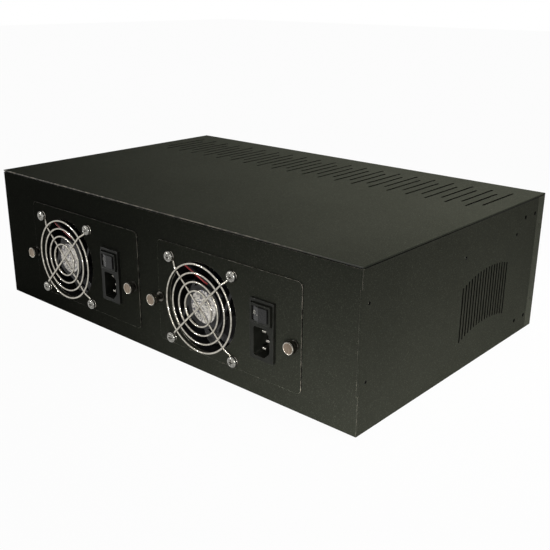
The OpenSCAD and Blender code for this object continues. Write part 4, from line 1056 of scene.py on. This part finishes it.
def makeInlet(side, v):
    # The housing's rounded edges take the painted highlight
    dressed("inlet_housing_" + side, inletMoulding, v["housingEdge"], inletEdge)
    dressed("inlet_pins_" + side, pinMetal, v["pinEdge"], segments=3)
    dressed("rocker_" + side, switchGloss, v["rockerEdge"], segments=3, smoothAngle=12)
    joint = [j for j in frame["joints"] if j["name"] == "rocker_tilt_" + side][0]
    pivot = np.array(joint["pos_m"])
    tilt = math.radians(v["tilt"])
    # The left facet runs from the ridge (0, -pivotIn) to (-half, rise - pivotIn) before the tilt
    ridge = np.array([0, -v["pivotIn"]])
    end = np.array([-v["half"], v["faceRise"] - v["pivotIn"]])
    along = (end - ridge) / np.linalg.norm(end - ridge)
    out = np.array([along[1], -along[0]])
    out = out if out[1] < 0 else -out

    def onFacet(u, w, h):
        # u across from the ridge, w up, h out of the facet, all in metres
        flat = ridge + np.multiply.outer(u, along) + np.multiply.outer(h, out)
        x = flat[..., 0] * math.cos(tilt) - flat[..., 1] * math.sin(tilt)
        y = flat[..., 0] * math.sin(tilt) + flat[..., 1] * math.cos(tilt)
        return np.stack([pivot[0] + x, pivot[1] + y, pivot[2] + w], -1)

    t = fullTurn(v["oSteps"])
    middle = -v["oPlace"][0] * v["half"], v["oPlace"][1] * v["tall"]
    ring = onFacet(middle[0] + v["oNarrow"] * v["oRadius"] * np.cos(t), middle[1] + v["oRadius"] * np.sin(t),
                   np.zeros_like(t))
    first = tube(ring, v["oLine"], v["lineSides"], closed=True)
    u = np.linspace(-0.5, 0.5, 8) * v["dash"] - v["dashPlace"][0] * v["half"]
    dash = onFacet(u, np.full_like(u, v["dashPlace"][1] * v["tall"]), np.zeros_like(u))
    second = tube(dash, v["oLine"] * v["dashLine"], v["lineSides"])
    marks = fixNormals(meshObject("switch_marks_" + side, *joined([first, second]), markWhite))
    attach(marks, "rocker_" + side)


for side in sides:
    makeInlet(side, inletValues)
print("inlets done")


# Thumbscrews: knurled heads with a dished face inside a bright rim

thumbValues = {
    "knurls": 40,
    "knurlSteps": 6,  # points to a knurl
    "knurlDepth": 0.3 * mm,
    "headLength": 5.0 * mm,
    "chamfer": 0.55 * mm,
    "faceDish": 0.18 * mm,
    "faceRows": 30,
    "rim": 0.45 * mm,
    "rimDepth": 0.25 * mm,
    "neck": 2.5 * mm,  # radius
    "thread": 1.95 * mm,  # radius
    "threadLength": 10 * mm,
    "threadPitch": 0.7 * mm,
    "threadDepth": 0.18 * mm,
    "tipIn": 0.3 * mm,
    "tipTaper": 0.6,
    "collarEdge": 0.2 * mm,
}


def makeThumbscrew(side, number, v):
    node = "thumbscrew_%s_%d" % (side, number)
    low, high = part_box(node)
    centre = (low + high) / 2
    radius = (high.x - low.x) / 2
    steps = v["knurls"] * v["knurlSteps"]
    t = fullTurn(steps)
    # Knurl: r = R - d (0.5 - 0.5 cos(n t)), eased off towards the head's ends
    tooth = 0.5 - 0.5 * np.cos(v["knurls"] * t)
    face, headEnd = low.y, low.y + v["headLength"]
    stations = [(radius - v["chamfer"], face, 0), (radius, face + v["chamfer"], 0.3),
                (radius, face + 2 * v["chamfer"], 1), (radius, headEnd - 2 * v["chamfer"], 1),
                (radius, headEnd - v["chamfer"], 0.3), (radius - v["chamfer"], headEnd, 0)]
    rings = [np.stack([(r - v["knurlDepth"] * k * tooth) * np.cos(t), np.full_like(t, y),
                       (r - v["knurlDepth"] * k * tooth) * np.sin(t)], -1) for r, y, k in stations]
    neckEnd = high.y - v["threadLength"]
    grooves = [(v["neck"], headEnd), (v["neck"], neckEnd)]
    # Thread as rings: r = R - d (0.5 - 0.5 cos(2 pi y / pitch))
    turn = np.arange(neckEnd, high.y - v["tipIn"], v["threadPitch"] / 4)
    wave = v["threadDepth"] * (0.5 - 0.5 * np.cos(2 * math.pi * (turn - neckEnd) / v["threadPitch"]))
    grooves += [(v["thread"] - w, y) for w, y in zip(wave, turn)] + [(v["thread"] * v["tipTaper"], high.y)]
    rings += [np.stack([r * np.cos(t), np.full_like(t, y), r * np.sin(t)], -1) for r, y in grooves]
    body = np.concatenate(rings).reshape(-1, 3) + [centre.x, 0, centre.z]
    faces = gridFaces(len(rings), steps, closeColumns=True)
    last = (len(rings) - 1) * steps
    faces.append(list(range(last, last + steps)))
    barrel = fixNormals(meshObject("knurled_" + node, body, faces, knurlNickel))
    standFor(barrel, node)
    # Face inside a bright turned rim: y = face + dish (1 - (r/R)^2)^0.5, and deeper by a step inside
    rows = v["faceRows"]
    outer = radius - v["chamfer"]
    dished = np.linspace(0.02 * outer, outer - v["rim"], rows)
    r = np.concatenate([dished, [outer - 0.8 * v["rim"], outer]])[:, None]
    y = face + v["faceDish"] * np.clip(1 - (r / radius) ** 2, 0, 1) ** 0.5
    y = y + v["rimDepth"] * (r < outer - 0.9 * v["rim"])
    disc = np.stack([centre.x + r * np.cos(t), y + 0 * t, centre.z + r * np.sin(t)], -1).reshape(-1, 3)
    faces = gridFaces(rows + 2, steps, closeColumns=True) + [list(range(steps))[::-1]]
    cap = meshObject("face_" + node, disc, faces, faceNickel)
    cap.data.materials.append(rimNickel)
    rimFaces = [int(rows * steps <= k < (rows + 1) * steps) for k in range(len(faces))]
    cap.data.polygons.foreach_set("material_index", rimFaces)
    fixNormals(cap)
    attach(cap, bodyOf(node))


for side in sides:
    for number in (1, 2):
        makeThumbscrew(side, number, thumbValues)
    dressed("screw_collars_" + side, knurlNickel, thumbValues["collarEdge"])
print("thumbscrews done")


# Card bay and the modules' insides

insideFinish = {
    "backplane_board": boardGreen, "backplane_standoffs": platedMetal, "card_sockets": blackMoulding,
    "dock_sockets": blackMoulding, "card_guides_lower": blackMoulding, "card_guides_upper": blackMoulding,
    "clinch_nuts": platedMetal,
}
moduleFinish = {
    "psu_board": boardGreen, "transformer": tapeYellow, "capacitors": sleeve, "heatsinks": bareAluminium,
    "dock_plug": whiteMoulding,
}


def finishInside():
    for node, material in insideFinish.items():
        coated(node, material)
    for side in sides:
        for node, material in moduleFinish.items():
            coated(node + "_" + side, material)


contactValues = {
    "sockets": 16,
    "socketHalf": 4.5 * mm,  # half width of a socket
    "rows": 18,
    "apart": 1.1 * mm,  # from a socket's middle
    "tall": 1.4 * mm,
    "deep": 0.25 * mm,
    "inset": 6.2 * mm,
    "endIn": 5.0 * mm,
}


def makeContacts(v):
    # Gold contact strips in two rows inside each card socket
    low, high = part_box("card_sockets")
    count = v["sockets"]
    pitch = (high.x - low.x - 2 * v["socketHalf"]) / (count - 1)
    boxFaces = [[0, 1, 3, 2], [4, 6, 7, 5], [0, 4, 5, 1], [2, 3, 7, 6], [0, 2, 6, 4], [1, 5, 7, 3]]
    corners = np.array([(x, y, z) for x in (-0.5, 0.5) for y in (-0.5, 0.5) for z in (-0.5, 0.5)])
    parts = []
    for i in range(count):
        x = low.x + v["socketHalf"] + i * pitch
        for z in np.linspace(low.z + v["endIn"], high.z - v["endIn"], v["rows"]):
            for s in (-1, 1):
                centre = np.array([x + s * v["apart"], high.y - v["inset"] / 2, z])
                parts.append((corners * [v["deep"], v["inset"], v["tall"]] + centre, boxFaces))
    contacts = fixNormals(meshObject("socket_contacts", *joined(parts), goldPlate, smooth=False))
    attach(contacts, "chassis")


# Closed clinch nuts behind the holes near the open front, so that no light shows through them; their
# near-black colour is painted shade inside the holes

nutValues = {
    "length": 4.5 * mm,
    "closed": 1.2 * mm,  # thickness of the closed end
    "wall": 1.4 * mm,
    "behind": 1.25 * mm,  # from the outer face
    "pilotBore": 1.3 * mm,
    "steps": 32,
    # Places of the small holes: from the front face, and height
    "pilots": ((50.2 * mm, 99.8 * mm), (6.0 * mm, 99.8 * mm), (6.0 * mm, 27.9 * mm)),
}


def makeFrontNuts(side, hand, v):
    # A cup turned about X, open towards its hole, for each hole of the ear's pattern and each small one
    mount = [m for m in frame["record"]["mounts"] if m["name"] == "ear_holes_" + side][0]
    dims = mount["dims"]
    halfY, halfZ = dims["spacing_x_mm"] / 2 * mm, dims["spacing_y_mm"] / 2 * mm
    face, middleY, middleZ = mount["pos_m"]
    earBore = dims["hole_r_mm"] * mm
    holes = [(middleY + y, middleZ + z, earBore) for y in (-halfY, halfY) for z in (-halfZ, halfZ)]
    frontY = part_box("front_frame")[1].y
    holes += [(frontY - fromFront, z, v["pilotBore"]) for fromFront, z in v["pilots"]]
    parts = []
    for y, z, bore in holes:
        radius, far = bore + v["wall"], v["behind"] + v["length"]
        outside = [(bore, v["behind"]), (radius, v["behind"]), (radius, far), (0, far)]
        inside = [(bore, v["behind"]), (bore, far - v["closed"]), (0, far - v["closed"])]
        for profile in (outside, inside):
            points, faces = lathe(profile, (0, 0, 0), v["steps"])
            turned = np.stack([-hand * points[:, 1], points[:, 0], points[:, 2]], 1)
            parts.append((turned + [face, y, z], faces))
    nuts = fixNormals(meshObject("front_nuts_" + side, *joined(parts), seal))
    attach(nuts, "chassis")


makeFrontNuts("left", -1, nutValues)
makeFrontNuts("right", 1, nutValues)
finishInside()
makeContacts(contactValues)
print("inside done")
